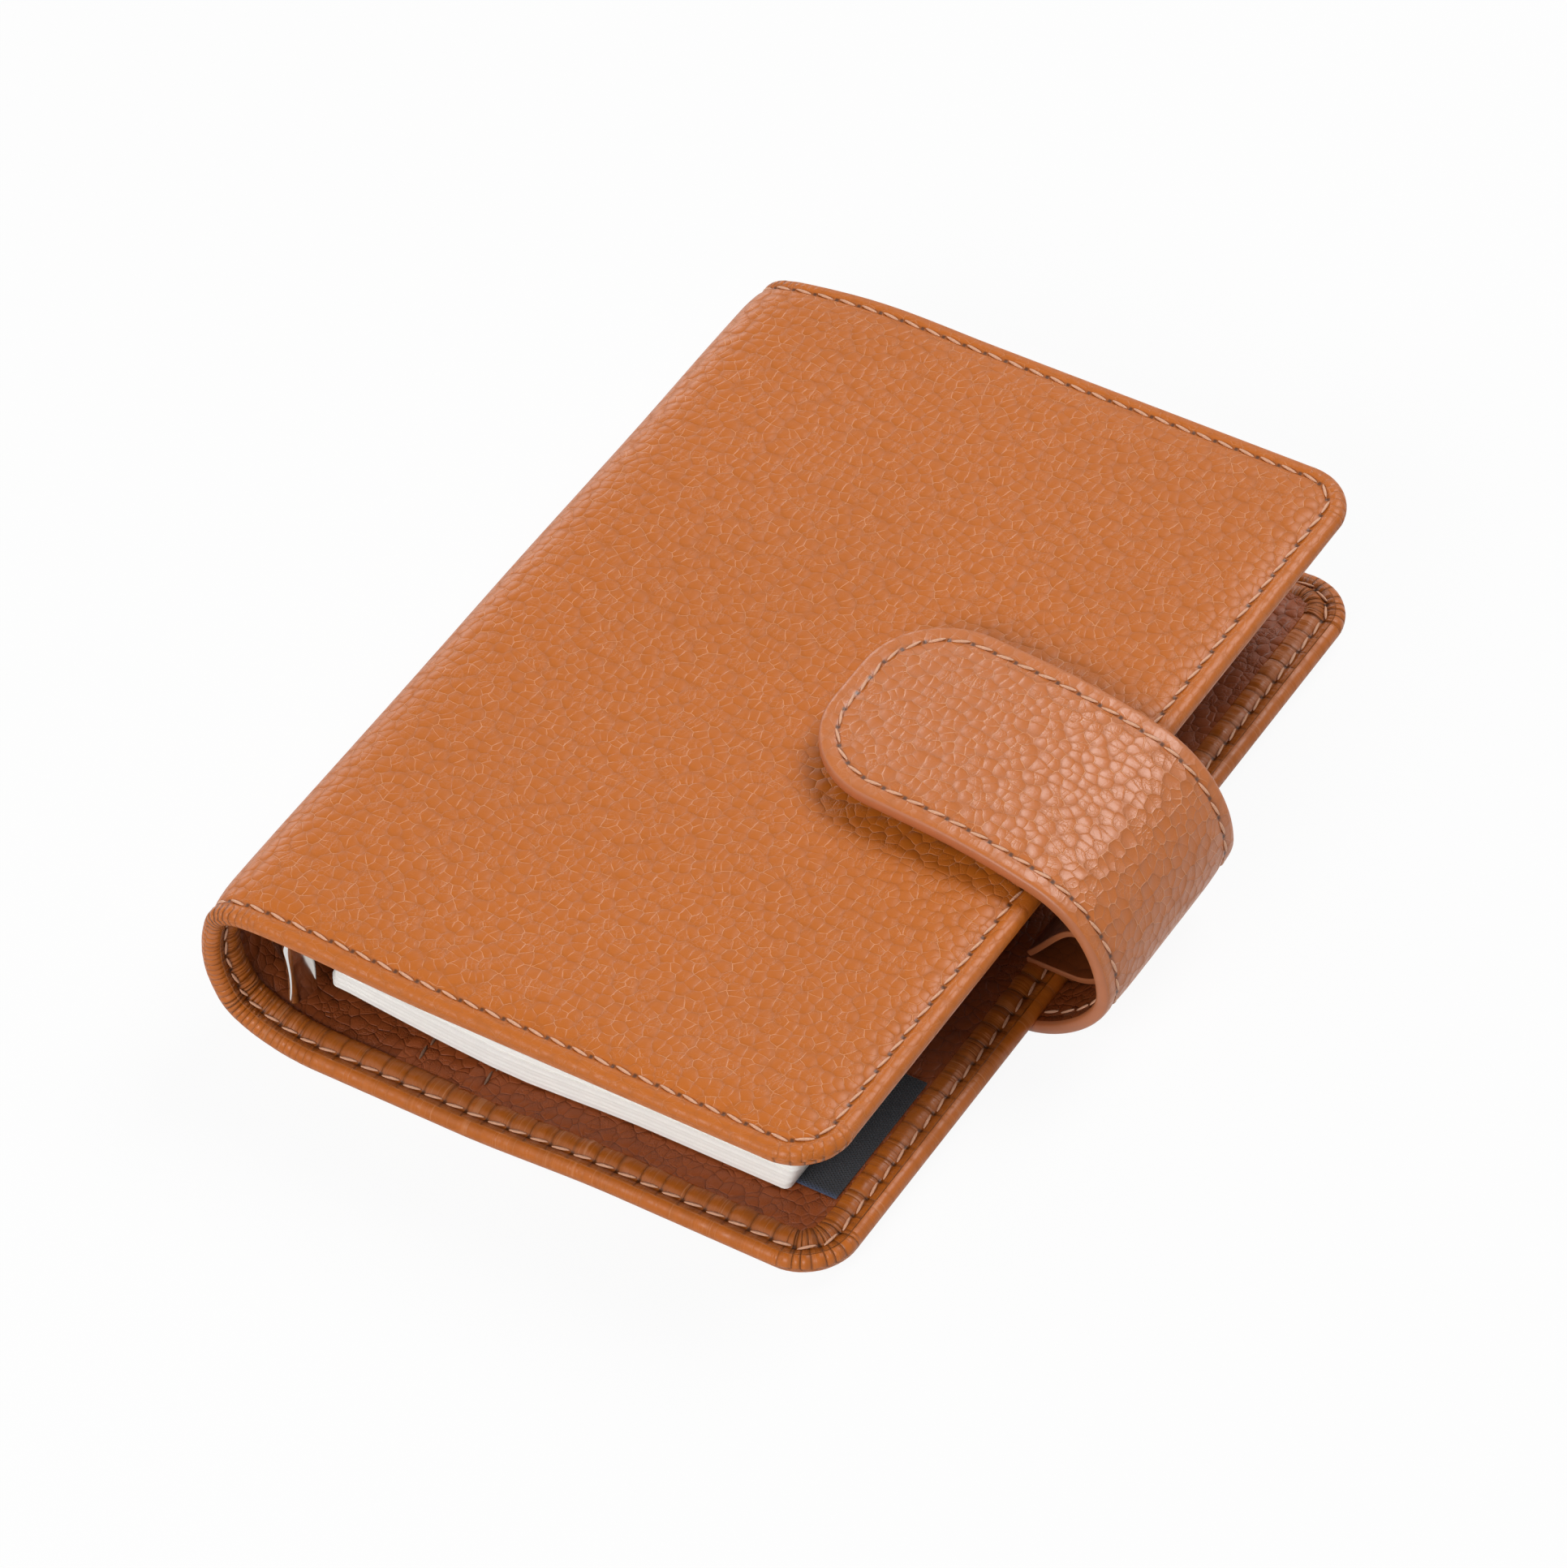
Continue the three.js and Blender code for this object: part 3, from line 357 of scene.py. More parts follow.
def strewn(name, template, places):
    """One mesh of many copies of a small template, each turned and placed by a 4x4 matrix."""
    co = coordinates(template)
    faces = [list(p.vertices) for p in template.data.polygons]
    points, polygons = [], []
    for matrix in places:
        m = np.array(matrix)
        base = len(points) * len(co)
        points.append(co @ m[:3, :3].T + m[:3, 3])
        polygons += [[base + i for i in face] for face in faces]
    mesh = bpy.data.meshes.new(name)
    mesh.from_pydata(np.vstack(points).tolist(), [], polygons)
    piece = bpy.data.objects.new(name, mesh)
    bpy.context.scene.collection.objects.link(piece)
    return piece


def dressed(piece, finishes):
    """Gives a piece its materials, by the names of one or more finishes."""
    piece.data.materials.clear()
    for finish in finishes.split():
        piece.data.materials.append(finish_of(finish))


def mounted(piece, nodes, body, bend=None):
    """Hides the solids a piece stands for and hangs it on its body's empty. A piece across a bend, between two bodies,
    only has its place baked into its mesh.
    """
    if nodes:
        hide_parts(*nodes)
    if bend:
        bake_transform(piece)
    else:
        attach(piece, body)


# Flat patterns: a rounded rectangle in the flat, with the distance from its edge and along it


class Pattern:
    """A flat cut with its fore-edge at x 0, long in x, with the same radius at both fore-edge corners."""

    def __init__(self, length, low, high, radius):
        self.length, self.low, self.high, self.radius = length, low, high, radius

    def measure(self, x, y, seam):
        """For arrays of flat points: inset, distance along a seam, the way out, and 1 where in a corner."""
        r = self.radius
        middle, half = (self.low + self.high) / 2, (self.high - self.low) / 2
        qx, qy = r - x, np.abs(y - middle) - (half - r)
        side = np.where(y < middle, -1.0, 1.0)
        corner = (qx > 0) & (qy > 0)
        inset = r - np.where(corner, np.hypot(np.maximum(qx, 0), np.maximum(qy, 0)), np.maximum(qx, qy))
        angle = np.arctan2(np.maximum(qx, 1e-9), np.maximum(qy, 1e-9))
        quarter = (r - seam) * math.pi / 2
        from_end = np.where(corner, self.length - r + (r - seam) * angle,
                            np.where(qy > qx, self.length - x, self.length - r + quarter - np.minimum(qy, 0)))
        whole = 2 * (self.length - r + quarter) + 2 * (half - r)
        along = np.where(side < 0, from_end, whole - from_end)
        way = np.stack([
            np.where(corner, -np.sin(angle), np.where(qy > qx, 0.0, -1.0)),
            np.where(corner, np.cos(angle), np.where(qy > qx, 1.0, 0.0)) * side,
        ], -1)
        return inset, along, way, np.where(corner, 1.0, 0.0)

    def outline(self, inset):
        """Points round the open outline at an inset, from the tail end round to the head end."""
        r, corner = self.radius - inset, self.radius
        low = np.linspace(-math.pi / 2, -math.pi, 20)
        high = np.linspace(math.pi, math.pi / 2, 20)
        return np.vstack([
            [[self.length, self.low + inset], [corner, self.low + inset]],
            np.stack([corner + r * np.cos(low), self.low + corner + r * np.sin(low)], -1),
            np.stack([corner + r * np.cos(high), self.high - corner + r * np.sin(high)], -1),
            [[corner, self.high - inset], [self.length, self.high - inset]],
        ])


def evenly(points, pitch):
    """Points and directions about every pitch along a polyline, evenly."""
    distance = travelled(points)
    count = round(distance[-1] / pitch)
    gap = distance[-1] / count
    found = []
    for i in range(count):
        d = (i + 0.5) * gap
        a, b = (np.array([np.interp(d + e, distance, points[:, k]) for k in (0, 1)]) for e in (-gap / 4, gap / 4))
        found.append(((a + b) / 2, (b - a) / np.linalg.norm(b - a)))
    return found


def stitch_gap(pattern, groove):
    """The stitch pitch that fills a pattern's seam a whole number of times."""
    whole = travelled(pattern.outline(groove))[-1]
    return whole / int(whole / sizes().stitch_pitch)


def rim_profile(out_side, in_side, top, bottom):
    """The turned edge's section as (inset, depth), from the outside over the edge to the inside."""
    radius = (bottom - top) / 2
    angles = [math.pi * i / 10 for i in range(1, 10)]
    return out_side + [(radius * (1 - math.sin(a)), top + radius * (1 - math.cos(a))) for a in angles] + in_side


def rim(name, pattern, profile, across, up):
    """The band round a pattern's three edges: its section pulled along, round both corners and back."""
    r = pattern.radius
    piece = drawn_line(name, [(pattern.length, pattern.low + inset, depth) for inset, depth in profile])
    turn = dict(steps=14, angle=math.pi / 2, axis=(0, 0, 1))
    pulled((-(pattern.length - r) / across, 0, 0), across)
    bpy.ops.mesh.spin(center=(r, pattern.low + r, 0), **turn)
    pulled((0, (pattern.high - pattern.low - 2 * r) / up, 0), up)
    bpy.ops.mesh.spin(center=(r, pattern.high - r, 0), **turn)
    pulled(((pattern.length - r) / across, 0, 0), across)
    closed_up(piece)
    return piece


def middle_panel(name, pattern, depth, across, up):
    """The field inside a rim, as a grid with the rim's own spacing."""
    r = pattern.radius
    wide, tall = pattern.length - r, pattern.high - pattern.low - 2 * r
    return grid(name, across, up, (wide, tall), (r + wide / 2, (pattern.low + pattern.high) / 2, depth))


def along_path(piece, path, distance_of, lift=0.0):
    """Carries a flat piece (distance, y, depth) on to a section path."""
    co = coordinates(piece)
    distance, y = distance_of(co[:, 0]), co[:, 1].copy()
    x, z = path.place(distance, co[:, 2] + lift)
    if path is COVER:
        by_spine = np.exp(-((distance - FRONT_CREASE - 4 * MM) / (12 * MM)) ** 2)
        y -= HEAD_DRAW * by_spine * np.clip(y / COVER_HEIGHT, 0, 1) ** 6
    moved(piece, np.stack([x + SHIFT_X, y + SHIFT_Y, z], -1))


def outward_check(piece, path, distance_of, flat):
    """Turns a piece over if its outside faces look inwards."""
    outside = [p for p in piece.data.polygons if all(abs(flat[i, 2]) < 1e-5 for i in p.vertices)]
    polygon = max(outside, key=lambda p: p.area)
    distance = distance_of(flat[list(polygon.vertices), 0].mean())
    outer, inner = path.place(distance, 0.0), path.place(distance, MM)
    if polygon.normal.dot(Vector((outer[0] - inner[0], 0, outer[1] - inner[1]))) < 0:
        edited(piece, bpy.ops.mesh.flip_normals)


# Materials


def shade(colour, share):
    return [min(1.0, c * share) for c in colour]


class Nodes:
    """The node tree of a material or a world, with short ways to add and link nodes."""

    def __init__(self, owner):
        owner.use_nodes = True
        self.owner, self.tree = owner, owner.node_tree
        self.inputs = next(n for n in self.tree.nodes if n.type in ("BSDF_PRINCIPLED", "BACKGROUND")).inputs

    def add(self, kind, inputs=None, **settings):
        node = self.tree.nodes.new(kind)
        for key, value in settings.items():
            setattr(node, key, value)
        for key, value in (inputs or {}).items():
            self.put(node.inputs[key], value)
        return node

    def put(self, socket, value):
        if isinstance(value, bpy.types.NodeSocket):
            self.tree.links.new(value, socket)
        else:
            socket.default_value = value

    def maths(self, operation, a, b=0.0, clamp=False):
        return self.add("ShaderNodeMath", {0: a, 1: b}, operation=operation, use_clamp=clamp).outputs[0]

    def times(self, first, *others):
        for value in others:
            first = self.maths("MULTIPLY", first, value)
        return first

    def plus(self, first, *others):
        for value in others:
            first = self.maths("ADD", first, value)
        return first

    def most(self, first, *others):
        for value in others:
            first = self.maths("MAXIMUM", first, value)
        return first

    def less(self, a, b):
        return self.maths("SUBTRACT", a, b)

    def size_of(self, a):
        return self.maths("ABSOLUTE", a)

    def vector(self, operation, **inputs):
        """A vector sum, its inputs given as a and b or a and Scale."""
        keys = {"a": 0, "b": 1}
        return self.add("ShaderNodeVectorMath", {keys.get(k, k): v for k, v in inputs.items()},
                        operation=operation).outputs[0]

    def ramp(self, value, low, high, out_low=0.0, out_high=1.0):
        values = {"Value": value, "From Min": low, "From Max": high, "To Min": out_low, "To Max": out_high}
        return self.add("ShaderNodeMapRange", values, interpolation_type="SMOOTHSTEP").outputs["Result"]

    def mix(self, factor, a, b):
        a, b = (v if isinstance(v, bpy.types.NodeSocket) else (*v, 1) for v in (a, b))
        return self.add("ShaderNodeMix", {"Factor": factor, "A": a, "B": b}, data_type="RGBA").outputs["Result"]

    def value(self, name):
        return self.add("ShaderNodeAttribute", attribute_name=name).outputs["Fac"]

    def place(self):
        return self.add("ShaderNodeTexCoord").outputs["Object"]

    def noise(self, where, scale, detail, output="Fac"):
        return self.add("ShaderNodeTexNoise", {"Vector": where, "Scale": scale, "Detail": detail}).outputs[output]

    def shown(self):
        """1 for rays that show the white background: from the camera, off metal and through glass."""
        rays = self.add("ShaderNodeLightPath").outputs
        return self.most(*(rays[f"Is {kind} Ray"] for kind in ("Camera", "Glossy", "Transmission")))

    def finish(self, colour, roughness, height, relief, **others):
        """Sets the shader and gives the material. Others are inputs by name, with _ for a space."""
        self.put(self.inputs["Base Color"], colour)
        self.put(self.inputs["Roughness"], roughness)
        bump = self.add("ShaderNodeBump", {"Height": height, "Distance": relief, "Strength": 1.0})
        self.put(self.inputs["Normal"], bump.outputs["Normal"])
        for key, value in others.items():
            self.inputs[key.replace("_", " ")].default_value = value
        return self.owner


def new_material(name):
    return Nodes(bpy.data.materials.new(name))


def leather_grain(nodes, where, cell, flat=False):
    """Round pebbles parted by creases. Gives the height, the domes, the creases and the fine wrinkles."""
    warp = nodes.vector("SUBTRACT", a=nodes.noise(where, 0.45 / cell, 3.0, "Color"), b=(0.5, 0.5, 0.5))
    bent = nodes.vector("ADD", a=where, b=nodes.vector("SCALE", a=warp, Scale=cell * 0.8))

    def cells(feature, finer=1.0, **inputs):
        return nodes.add("ShaderNodeTexVoronoi", {"Vector": bent, "Scale": finer / cell, **inputs}, feature=feature,
                         voronoi_dimensions="2D" if flat else "3D").outputs["Distance"]

    away = nodes.maths("DIVIDE", cells("F1", Randomness=0.85), 0.78 if flat else 0.95)
    dome = nodes.maths("SUBTRACT", 1.0, nodes.times(away, away), clamp=True)
    edge = cells("DISTANCE_TO_EDGE", Randomness=0.85)
    crease = nodes.ramp(edge, 0.0, 0.032, 1.0, 0.0)
    groove = nodes.ramp(edge, 0.0, 0.09, 0.12, 0.0)
    wrinkle = nodes.times(nodes.ramp(cells("DISTANCE_TO_EDGE", 2.3), 0.0, 0.12, 1.0, 0.0),
                          nodes.ramp(nodes.noise(where, 0.5 / cell, 2.0), 0.44, 0.62))
    height = nodes.less(nodes.less(dome, groove), nodes.times(wrinkle, 0.12))
    height = nodes.plus(height, nodes.times(nodes.noise(where, 6 / cell, 3.0), 0.1))
    return height, dome, crease, wrinkle


def leather_tone(nodes, where, colour, waxed, dome, crease, wrinkle):
    """Leather's colour: slow patches, a painted shade in the valleys between the pebbles, and hairlines in the creases
    painted in the crease light that is passed in: a painted highlight on the cover and strap, a painted shade on the
    lining.
    """
    patch, spark = nodes.noise(where, 30.0, 3.0), nodes.noise(where, 520.0, 1.0)
    tone = nodes.mix(nodes.ramp(patch, 0.3, 0.7, 0.0, 0.35), colour, shade(colour, 0.86))
    # Painted shade: darker in the valleys between the pebbles.
    tone = nodes.mix(nodes.ramp(dome, 0.25, 0.8, 0.28, 0.0), tone, shade(colour, 0.66))
    # Painted crease light on some of the creases, picked by a fine noise, and faintly on the wrinkles: a painted
    # highlight where it is lighter than the leather, a painted shade where it is darker.
    tone = nodes.mix(nodes.times(crease, nodes.ramp(spark, 0.44, 0.6, 0.0, 0.85)), tone, waxed)
    return nodes.mix(nodes.times(wrinkle, 0.1), tone, waxed), patch


def rim_leather(name, colour, waxed, cell, relief, roughness, gloss):
    """Pebbled leather that gathers in pleats round its turned edge and is pricked along its seam. Its crease colour is
    painted on as a highlight.
    """
    nodes = new_material(name)
    uv = nodes.add("ShaderNodeUVMap", uv_map="flat").outputs["UV"]
    where = nodes.add("ShaderNodeMapping", {"Vector": uv, "Scale": (0.1, 0.1, 0.1)}).outputs[0]
    inset, along, curl, fold = (nodes.value(v) for v in ("edge_inset", "seam_stitch", "edge_curl", "edge_fold"))
    on_edge = nodes.ramp(inset, 1.2 * MM, 2.4 * MM, 1.0, 0.0)
    inside = nodes.ramp(fold, 0.5, 0.9)
    gathering = nodes.times(nodes.most(on_edge, inside), curl)
    # The stitches' beat along the seam, and a quicker, wandering one for the pleats at corners
    shift = nodes.noise(where, 210.0, 2.0)
    beat = nodes.size_of(nodes.maths("SINE", nodes.times(along, math.pi)))
    wander = nodes.times(nodes.less(shift, 0.5), 5.5)
    tight = nodes.size_of(nodes.maths("SINE", nodes.plus(nodes.times(along, 3.1 * math.pi), wander)))
    # Heights: pebbles, dents along the edge, bulges and crumples on the hem, pleats
    height, dome, crease, wrinkle = leather_grain(nodes, where, cell * MM, True)
    keep = nodes.less(nodes.ramp(inset, 0.4 * MM, 3.4 * MM, 0.3, 1.0), nodes.times(inside, 0.35))
    edge_place = nodes.add("ShaderNodeCombineXYZ", {"X": nodes.times(along, 1.1), "Y": nodes.times(inset, 160.0)})
    dents = nodes.times(nodes.noise(edge_place.outputs[0], 1.0, 3.0), on_edge, 1.9)
    bulges = nodes.times(nodes.maths("POWER", beat, 0.45), inside, nodes.ramp(shift, 0.3, 0.7, 0.5, 1.8))
    crumples = nodes.times(nodes.noise(where, 750.0, 4.0), inside, 3.4)
    pleats = nodes.times(nodes.maths("POWER", tight, 0.6), gathering, 2.6)
    relief_height = nodes.plus(nodes.times(height, keep), dents, bulges, crumples, pleats)
    # Colours: painted shade, darker on the hem inside, in the dips between its bulges and in the pleats' folds, and a
    # dark line and dark holes along the seam
    tone, patch = leather_tone(nodes, where, colour, waxed, dome, nodes.times(crease, keep), wrinkle)
    # Painted shade: the hem on the inside darker, as it lies in shade.
    tone = nodes.mix(nodes.times(inside, 0.38), tone, shade(colour, 0.4))
    # Painted shade: darker in the dips between the hem's bulges and in the folds of the pleats.
    hem_valley_shade = nodes.times(nodes.ramp(beat, 0.0, 0.4, 0.55, 0.0), inside)
    pleat_fold_shade = nodes.times(nodes.ramp(tight, 0.0, 0.35, 0.6, 0.0), gathering)
    tone = nodes.mix(nodes.most(hem_valley_shade, pleat_fold_shade), tone, shade(colour, 0.3))
    # Painted shade: a dark line along the seam's groove and dark holes between the stitches.
    off = nodes.size_of(nodes.less(inset, sizes().stitch_inset))
    line = nodes.ramp(off, 0.1 * MM, 0.5 * MM, 0.28, 0.0)
    prick_hole_shade = nodes.times(nodes.ramp(off, 0.16 * MM, 0.42 * MM, 1.0, 0.0), nodes.ramp(beat, 0.1, 0.5, 1.0, 0.0), 0.92)
    tone = nodes.mix(nodes.most(line, prick_hole_shade), tone, shade(colour, 0.12))
    blotches = nodes.times(nodes.less(patch, 0.5), 0.15)
    rough = nodes.plus(nodes.ramp(dome, 0.3, 0.8, roughness + 0.12, roughness), blotches)
    return nodes.finish(tone, rough, relief_height, relief * MM, Specular_IOR_Level=gloss)


def plain_leather(name, colour, cell, relief, roughness):
    """Leather for the lining, the pockets and the pen loop, on object coordinates."""
    nodes = new_material(name)
    where = nodes.place()
    height, dome, crease, wrinkle = leather_grain(nodes, where, cell * MM)
    # Painted shade: the lining's creases and wrinkles darker than its domes.
    tone, _ = leather_tone(nodes, where, colour, shade(colour, 0.55), dome, crease, wrinkle)
    rough = nodes.ramp(dome, 0.0, 0.7, roughness + 0.12, roughness)
    return nodes.finish(tone, rough, height, relief * MM, Specular_IOR_Level=0.3)


def mottled(name, scale, detail, low, high, relief, roughness):
    """A plain finish between two colours, with a noise for both its tone and its relief."""
    nodes = new_material(name)
    field = nodes.noise(nodes.place(), scale, detail)
    return nodes.finish(nodes.mix(field, low, high), roughness, field, relief * MM)


def waxed_thread(name, colour):
    return mottled(name, 2600.0, 2.0, shade(colour, 0.72), shade(colour, 1.15), 0.12, 0.55)


def woven_tape(name, colour):
    nodes = new_material(name)
    where = nodes.place()
    split = nodes.add("ShaderNodeSeparateXYZ", {"Vector": where})
    weave = nodes.times(*(nodes.maths("SINE", nodes.times(split.outputs[axis], 2 * math.pi / (pitch * MM)))
                          for axis, pitch in (("X", 0.55), ("Y", 0.4))))
    tone = nodes.mix(nodes.ramp(weave, -1.0, 1.0), shade(colour, 0.4), shade(colour, 3.2))
    tone = nodes.mix(nodes.ramp(nodes.noise(where, 900.0, 3.0), 0.4, 0.8, 0.0, 0.3), tone, shade(colour, 3.0))
    tone = nodes.mix(nodes.times(nodes.value("tape_end"), 0.85), tone, colours().tape_end)
    return nodes.finish(tone, 0.75, weave, 0.06 * MM, Sheen_Weight=0.1)


def page_paper(name, colour):
    nodes = new_material(name)
    where = nodes.place()
    fibre, cloud = nodes.noise(where, 900.0, 4.0), nodes.noise(where, 55.0, 2.0)
    tone = nodes.mix(fibre, shade(colour, 0.95), colour)
    tone = nodes.mix(nodes.ramp(cloud, 0.35, 0.65, 0.0, 0.4), tone, [colour[0], colour[1] * 0.985, colour[2] * 0.955])
    return nodes.finish(tone, 0.8, fibre, 0.02 * MM)


def plated_steel(name, colour, roughness):
    nodes = new_material(name)
    where = nodes.place()
    smear = nodes.noise(where, 160.0, 4.0)
    brushed = nodes.add("ShaderNodeMapping", {"Vector": where, "Scale": (900, 60, 900)}).outputs[0]
    tone = nodes.mix(smear, shade(colour, 0.94), colour)
    rough = nodes.ramp(smear, 0.3, 0.75, roughness, roughness + 0.1)
    return nodes.finish(tone, rough, nodes.noise(brushed, 1.0, 2.0), 0.004 * MM, Metallic=1.0)


MATERIALS = {}


def finish_of(name):
    """A finish by name, made once. Leathers give their cell and relief in millimetres."""
    if name not in MATERIALS:
        c = colours()
        makers = {
            "cover": (rim_leather, "pebbled_leather", c.leather, c.crease, 1.45, 0.14, 0.37, 0.36),
            "strap": (rim_leather, "strap_leather", c.leather, c.crease, 1.5, 0.16, 0.35, 0.65),
            "lining": (plain_leather, "lining_leather", c.lining, 1.5, 0.32, 0.42),
            "pocket": (plain_leather, "pocket_leather", shade(c.lining, 1.15), 1.5, 0.32, 0.42),
            "loop": (plain_leather, "loop_leather", shade(c.lining, 0.8), 1.4, 0.08, 0.4),
            "thread": (waxed_thread, "waxed_thread", c.thread),
            "pocket_thread": (waxed_thread, "pocket_thread", shade(c.thread, 0.3)),
            "edge": (mottled, "painted_edge", 350.0, 3.0, shade(c.edge, 0.85), shade(c.edge, 1.1), 0.1, 0.42),
            "tape": (woven_tape, "woven_tape", c.tape),
            "paper": (page_paper, "page_paper", c.paper),
            "card": (page_paper, "cover_card", shade(c.paper, 0.97)),
            "steel": (plated_steel, "plated_steel", c.metal, 0.1),
            "wire": (plated_steel, "plated_wire", shade(c.metal, 1.03), 0.08),
            "snap": (plated_steel, "plated_snap", shade(c.metal, 0.95), 0.16),
            "board": (mottled, "grey_board", 700.0, 5.0, (0.22, 0.2, 0.17), (0.34, 0.31, 0.27), 0.05, 0.9),
        }
        maker, *values = makers[name]
        MATERIALS[name] = maker(*values)
    return MATERIALS[name]


# Cover


def stitch_template():
    """One stitch of thread: a short bead drawn out and flattened, its ends going down into the holes."""
    clear_selection()
    bpy.ops.mesh.primitive_uv_sphere_add(segments=8, ring_count=6, radius=0.5)
    piece = named("stitch")
    size = (sizes().stitch_pitch * 0.8, sizes().thread, sizes().thread * 0.9)
    edited(piece, lambda: (
        bpy.ops.transform.rotate(value=math.pi / 2, orient_axis="Y", center_override=(0, 0, 0)),
        bpy.ops.transform.resize(value=size)))
    return piece


def seam(name, places, path, distance_of):
    """A row of stitches laid in the flat at (point and way, depth, side), then carried on to a path."""
    template, slant = stitch_template(), 0.17
    matrices = []
    for (point, way), depth, side in places:
        angle = math.atan2(way[1], way[0]) + slant * side
        matrices.append(Matrix.Translation((*point, depth)) @ Matrix.Rotation(angle, 4, "Z"))
    piece = strewn(name, template, matrices)
    discarded(template)
    along_path(piece, path, distance_of)
    smoothed(piece, 80)
    return piece


def unevenness(co):
    """Slow noise between -1 and 1 over flat points."""
    return np.array([noise.noise(Vector((x * 45, y * 32, 3.0))) for x, y in co[:, :2]])


def path_curl(path, distance):
    """How tightly a path bends at distances along it, from 0 to 1."""
    angle = np.unwrap(np.arctan2(path.along[:, 1], path.along[:, 0]))
    bend = np.abs(np.gradient(angle, path.distance))
    soft = np.convolve(bend, np.ones(25) / 25, mode="same")
    return np.clip(np.interp(distance, path.distance, soft) * 6 * MM, 0, 1)


def seam_values(piece, inset, stitch, curl, fold):
    """The vertex values that the rim's leather reads."""
    for key, values in (("edge_inset", inset), ("seam_stitch", stitch), ("edge_curl", curl), ("edge_fold", fold)):
        vertex_value(piece, key, values)


def cover_sections(s):
    """The cover's rim as (inset, depth) in metres: outside and inside, each with its stitch groove."""
    g, rise, t, hem = (v / MM for v in (s.stitch_inset, s.pad_rise, s.edge_thickness, s.hem_width))
    out_side = [(s.corner_radius / MM, 0), (6, rise * 0.04), (5, rise * 0.16), (4, rise * 0.4), (3.3, rise * 0.66),
                (2.8, rise * 0.95), (g + 0.25, rise + 0.14), (g, rise + 0.24), (g - 0.25, rise + 0.14),
                (g - 0.6, rise + 0.02)]
    in_side = [(1.35, t), (g - 0.55, t - 0.04), (g - 0.22, t - 0.22), (g, t - 0.34), (g + 0.22, t - 0.22),
               (g + 0.6, t + 0.06), (3.5, t + 0.2), (4.2, t + 0.18), (hem - 0.4, t + 0.02), (hem, t - 0.22),
               (hem, t - 0.8)]
    return rim_profile(in_mm(out_side), in_mm(in_side), s.pad_rise, s.edge_thickness)


def cover_half(name, length, distance_of, seed):
    """Half of the cover, from a fore-edge to the middle of the spine, and its seams on both sides."""
    s = sizes()
    pattern = Pattern(length, 0.0, COVER_HEIGHT, s.corner_radius)
    across, up = int((length - s.corner_radius) / (0.72 * MM)), 154
    groove, rise, t = s.stitch_inset, s.pad_rise, s.edge_thickness
    band = rim(name + "_rim", pattern, cover_sections(s), across, up)
    piece = joined(name, band, middle_panel(name + "_field", pattern, 0.0, across, up))
    closed_up(piece, 2e-5)
    edited(piece, lambda: bpy.ops.mesh.normals_make_consistent(inside=False))
    flat = coordinates(piece)
    inset, along, way, corner = pattern.measure(flat[:, 0], flat[:, 1], groove)
    inward = flat[:, 2] > (t + rise) / 2
    gap = stitch_gap(pattern, groove)
    curl = np.clip(path_curl(COVER, distance_of(flat[:, 0])) + corner * np.where(inward, 0.9, 0.25), 0, 1)
    seam_values(piece, inset, along / gap, curl, np.where(inward & (inset > 1 * MM), 1.0, 0.0))
    travel = np.where(inward, t * math.pi / 2 + inset, np.maximum(t / 2 - inset, 0) * 0.6)
    flat_map(piece, flat[:, :2] + way * travel[:, None] + seed)
    hollows = unevenness(flat + [seed, 0, 0]) * 0.25 * MM * np.clip((inset - 3.4 * MM) / (12 * MM), 0, 1)
    hem = np.clip((inset - groove - 0.3 * MM) / (0.7 * MM), 0, 1) * np.clip((s.hem_width - inset) / (0.8 * MM), 0, 1)
    waver = unevenness(flat * 9 + [7, 0, 0])
    scallop = np.abs(np.sin((along / gap + waver * 0.12) * math.pi)) * (0.2 + 0.15 * curl + 0.35 * waver)
    tuck = np.abs(np.sin((along / gap + waver) * math.pi * 0.8)) * curl * 0.22
    edge = np.clip(1 - inset / (1.2 * MM), 0, 1)
    gathers = np.where(inward, scallop * hem * MM * 0.8 + tuck * MM * (0.5 * edge + hem), -tuck * edge * MM * 0.7)
    along_path(piece, COVER, distance_of, hollows + gathers)
    outward_check(piece, COVER, distance_of, flat)
    smoothed(piece, 60)
    line = evenly(pattern.outline(groove), gap)
    places = [(p, rise + 0.08 * MM, 1) for p in line] + [(p, t - 0.1 * MM, -1) for p in line]
    return piece, seam(name + "_seam", places, COVER, distance_of)


BACK_BEND = (here(5.6, 62.5, 2.2), here(1.2, 62.5, 8.0))
FRONT_BEND = (here(0.6, 62.5, 14.4), here(5.6, 62.5, 21.6))


def from_back(x):
    return x


def from_front(x):
    return COVER.length - x


